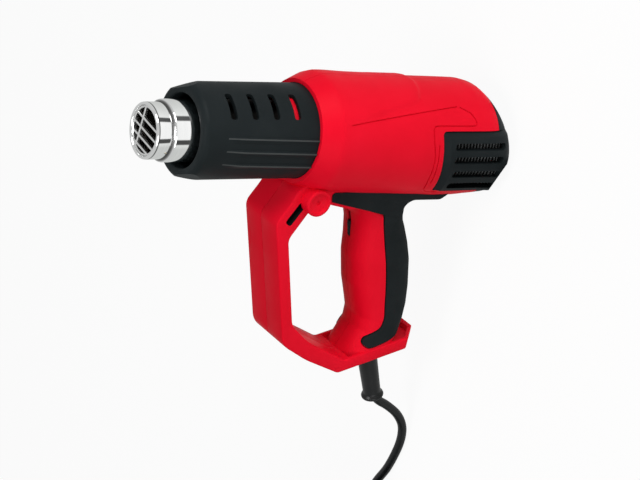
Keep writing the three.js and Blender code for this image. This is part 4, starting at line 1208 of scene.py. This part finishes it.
def build_shroud():
    front = SHROUD_FRONT
    wall = [(SHROUD_RADIUS, z) for z in (SHROUD_REAR, 150, 170, 190, 205, 218)]
    lip = []
    mouth = []
    for t in np.linspace(0, math.pi / 2, 9):
        lip.append((SHROUD_RADIUS - LIP + LIP * math.cos(t), front - LIP + LIP * math.sin(t)))
        mouth.append((MOUTH_RADIUS + MOUTH_LIP * (1 - math.sin(t)), front - MOUTH_LIP * (1 - math.cos(t))))
    shroud = turned("shroud", [
        (SHROUD_BORE, SHROUD_REAR), *wall, *lip, *mouth, (MOUTH_RADIUS, front - 6.5), (24.2, front - 8),
        (24.6, front - 18), (SHROUD_BORE, front - 24),
    ], "black", 160, 14)
    cuts = []
    for long, deep, turn in SHROUD_FLATS:
        wedge = block("wedge", (0, -45, -30), (20, 45, 30), "black")
        wedge.data.transform(Matrix.Rotation(-math.atan2(deep, long), 4, "Y"))
        wedge.data.transform(Matrix.Translation((SHROUD_RADIUS * MM, 0, (front - long) * MM)))
        wedge.data.transform(Matrix.Rotation(turn, 4, "Z"))
        cuts.append(wedge)
    cuts += [vent(side, VENT_FIRST + VENT_PITCH * row) for side in (-1, 1) for row in range(4)]
    combine(shroud, cuts, angle=14)
    ridges = [part for side in (-1, 1) for ends in RIDGES for part in ridge(side, *ends)]
    piece = merge("shroud", [shroud, *ridges], 14)
    settle(piece, "black_plastic", "nozzle_shroud")
    spigot = turned("spigot", [
        (24.2, SOCKET_FLOOR), (26.4, SOCKET_FLOOR), (26.4, 166.4), (26, 167.2), (25.4, 167.6), (24.2, 167.6),
    ], "red", 96)
    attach(spigot, "tool")


OUTLET_END = 258.0
OUTLET_STEP = OUTLET_END - 10.4
OUTLET_RADIUS = 18.75
OUTLET_BORE = 17.85
RIM_RADIUS = 17.0
RIM_BORE = 14.95
GRILLE_TOP = OUTLET_END - 1.0
GRILLE_TURN = Matrix.Rotation(math.radians(-8.5), 2)
GRILLE_REACH = 14.2
GRILLE_BARS = [-11.2, -6.0, -0.4, 5.6]
GRILLE_LONG_BAR = 5.6
GRILLE_SECTION = [
    (-0.68, -2.0), (-0.68, -0.35), (-0.45, -0.08), (0, 0), (0.45, -0.08), (0.68, -0.35), (0.68, -2.0),
]


def build_outlet():
    end, step = OUTLET_END, OUTLET_STEP
    tube_piece = turned("outlet", [
        (24.3, 120), (30, 120), (30, 121.2), (25.2, 121.2), (25.2, 128), (OUTLET_RADIUS, 137),
        (OUTLET_RADIUS, 180), (OUTLET_RADIUS, 225), (OUTLET_RADIUS, step - 2.0), (18.6, step - 1.3),
        (18.1, step - 0.8), (17.2, step - 0.55), (16.75, step - 0.25), (16.7, step + 0.3),
        (16.95, step + 0.8), (RIM_RADIUS, step + 1.4), (RIM_RADIUS, end - 1.4), (16.9, end - 0.7),
        (16.55, end - 0.2), (16.0, end), (15.4, end - 0.1), (15.05, end - 0.5), (RIM_BORE, end - 1.2),
        (RIM_BORE, step - 0.6),
        (OUTLET_BORE, step - 2.0), (OUTLET_BORE, 137), (24.3, 127.6),
    ], "chrome", 160, 34)
    settle(tube_piece, "chrome_steel", "nozzle_tube")

    top = GRILLE_TOP
    parts = [turned("ring", [
        (13.6, top - 2.4), (14.9, top - 2.4), (14.9, top - 0.3), (14.6, top), (13.9, top), (13.6, top - 0.3),
    ], "bars", 96)]
    for x in GRILLE_BARS:
        half = math.sqrt(GRILLE_REACH ** 2 - x * x)
        parts.append(grille_bar((x, -half), (x, half)))
    half = math.sqrt(GRILLE_REACH ** 2 - GRILLE_LONG_BAR ** 2)
    parts.append(grille_bar((-half, GRILLE_LONG_BAR), (half, GRILLE_LONG_BAR)))
    piece = merge("outlet_grille", parts)
    settle(piece, "chrome_steel", "nozzle_grille")


def grille_bar(start, end):
    start, end = Vector(start), Vector(end)
    along = (end - start).normalized()
    across = Vector((-along.y, along.x))
    rings = []
    for p in (start, end):
        places = [GRILLE_TURN @ (p + across * off) for off, drop in GRILLE_SECTION]
        rings.append([(*q, GRILLE_TOP + drop) for q, (off, drop) in zip(places, GRILLE_SECTION)])
    return grid_solid("bar", rings, "bars", 50)


def build_switch():
    key = block("key", (-KEY_LONG, -KEY_WIDE, -7.2), (KEY_LONG, KEY_WIDE, 1.4), "black")
    round_edges(key, 0.5, 3, lambda middle: 1.0)
    places = (-4, -1.35, 1.35, 4)
    combine(key, [bar("groove", (x, -8, 1.5), (x, 8, 1.5), 0.5, "black", 12) for x in places])
    flange = block("flange", (-9, -4, -8.2), (9, 4, -6.6), "black")
    piece = merge("slider", [key, flange])
    piece.data.transform(SWITCH_PLACE)
    settle(piece, "black_plastic", "switch_slider", body="slider")


build_housing()
build_grips()
build_boss()
build_cap()
build_grids()
build_shroud()
build_outlet()
build_switch()

# The pieces inside keep their solids and take their slot's look
looks = {entry["node"]: SLOT_LOOK[entry["material_slot"]] for entry in frame["record"]["subparts"]}
for name, obj in frame["nodes"].items():
    obj.data.materials.clear()
    obj.data.materials.append(LOOK[looks[name]])
    finish_mesh(obj, 35)


# Pale floor that the camera and polished metal see as white, with a light shadow kept

FLOOR_HALF = 6.0
FLOOR_AT = -0.0004
FLOOR_GLOW = 0.93


def build_floor():
    n = Nodes("floor")
    shades = [(0.3, (0.86, 0.86, 0.86)), (0.7, (0.88, 0.88, 0.88))]
    n.set(n.shader, Base_Color=n.ramp(n.noise(3, 2, 0.5), shades), Roughness=0.8, Specular_IOR_Level=0.1)
    # Polished metal sees a broad white panel between two dark gaps, with grey to either side
    white, grey, gap = (1, 1, 1), (0.62, 0.63, 0.62), (0.015, 0.016, 0.016)
    stops = [
        (-180, grey), (-140, grey), (-122, (0.8, 0.81, 0.8)), (-118, gap), (-104, gap), (-100, white),
        (-38, white), (-34, gap), (-20, gap), (-16, (0.86, 0.87, 0.86)), (20, (0.72, 0.73, 0.72)),
        (70, grey), (180, grey),
    ]
    axes = n.axes()
    turn = n.spread(reckon(n.tree, "ARCTAN2", axes["Y"], axes["X"]), 0.0, 1.0, -math.pi, math.pi)
    view = n.ramp(turn, [((angle + 180) / 360, colour) for angle, colour in stops])
    path = n.node("LightPath").outputs
    glow = n.node("Emission", Color=n.mix(path["Is Glossy Ray"], white, view), Strength=1.0)
    seen = reckon(n.tree, "MAXIMUM", path["Is Camera Ray"], path["Is Glossy Ray"])
    blend = n.node("MixShader", Fac=reckon(n.tree, "MULTIPLY", seen, FLOOR_GLOW))
    feed(n.tree, blend.inputs[1], n.shader.outputs["BSDF"])
    feed(n.tree, blend.inputs[2], glow.outputs["Emission"])
    n.set(n.out, Surface=blend.outputs["Shader"])
    mesh = bpy.data.meshes.new("floor")
    corners = [(-1, -1), (1, -1), (1, 1), (-1, 1)]
    mesh.from_pydata([(FLOOR_HALF * x, FLOOR_HALF * y, FLOOR_AT) for x, y in corners], [], [(0, 1, 2, 3)])
    floor = linked("floor", mesh)
    mesh.materials.append(n.material)


build_floor()

# Lamps: name, direction from the target, width and watts
LAMP_TARGET = Vector((-0.05, 0, 0.13))
LAMP_FAR = 1.2
LAMPS = [
    ("top", (0.88, -0.35, 0.3), 0.7, 9.6),
    ("near", (-0.28, -0.92, 0.27), 0.9, 4.3),
    ("over", (0.02, -0.2, 0.98), 0.5, 6.4),
]


def build_lights():
    world = bpy.data.worlds.new("studio")
    scene.world = world
    world.use_nodes = True
    tree = world.node_tree
    shade = tree.nodes["Background"]
    shade.inputs["Color"].default_value = (1, 1, 1, 1)
    path = tree.nodes.new("ShaderNodeLightPath").outputs
    # Polished metal sees a pale room, which adds no light elsewhere
    level = reckon(tree, "MULTIPLY_ADD", path["Is Glossy Ray"], 0.46, 0.14)
    # The camera sees the room as white behind the floor
    seen = reckon(tree, "MULTIPLY_ADD", path["Is Camera Ray"], 0.84, level)
    feed(tree, shade.inputs["Strength"], seen)
    for name, way, size, watts in LAMPS:
        way = Vector(way)
        data = bpy.data.lights.new(name, "AREA")
        data.shape = "DISK"
        data.size = size
        data.energy = watts
        lamp = linked(name, data)
        lamp.location = LAMP_TARGET + way.normalized() * LAMP_FAR
        lamp.rotation_euler = way.to_track_quat("Z", "Y").to_euler()


build_lights()
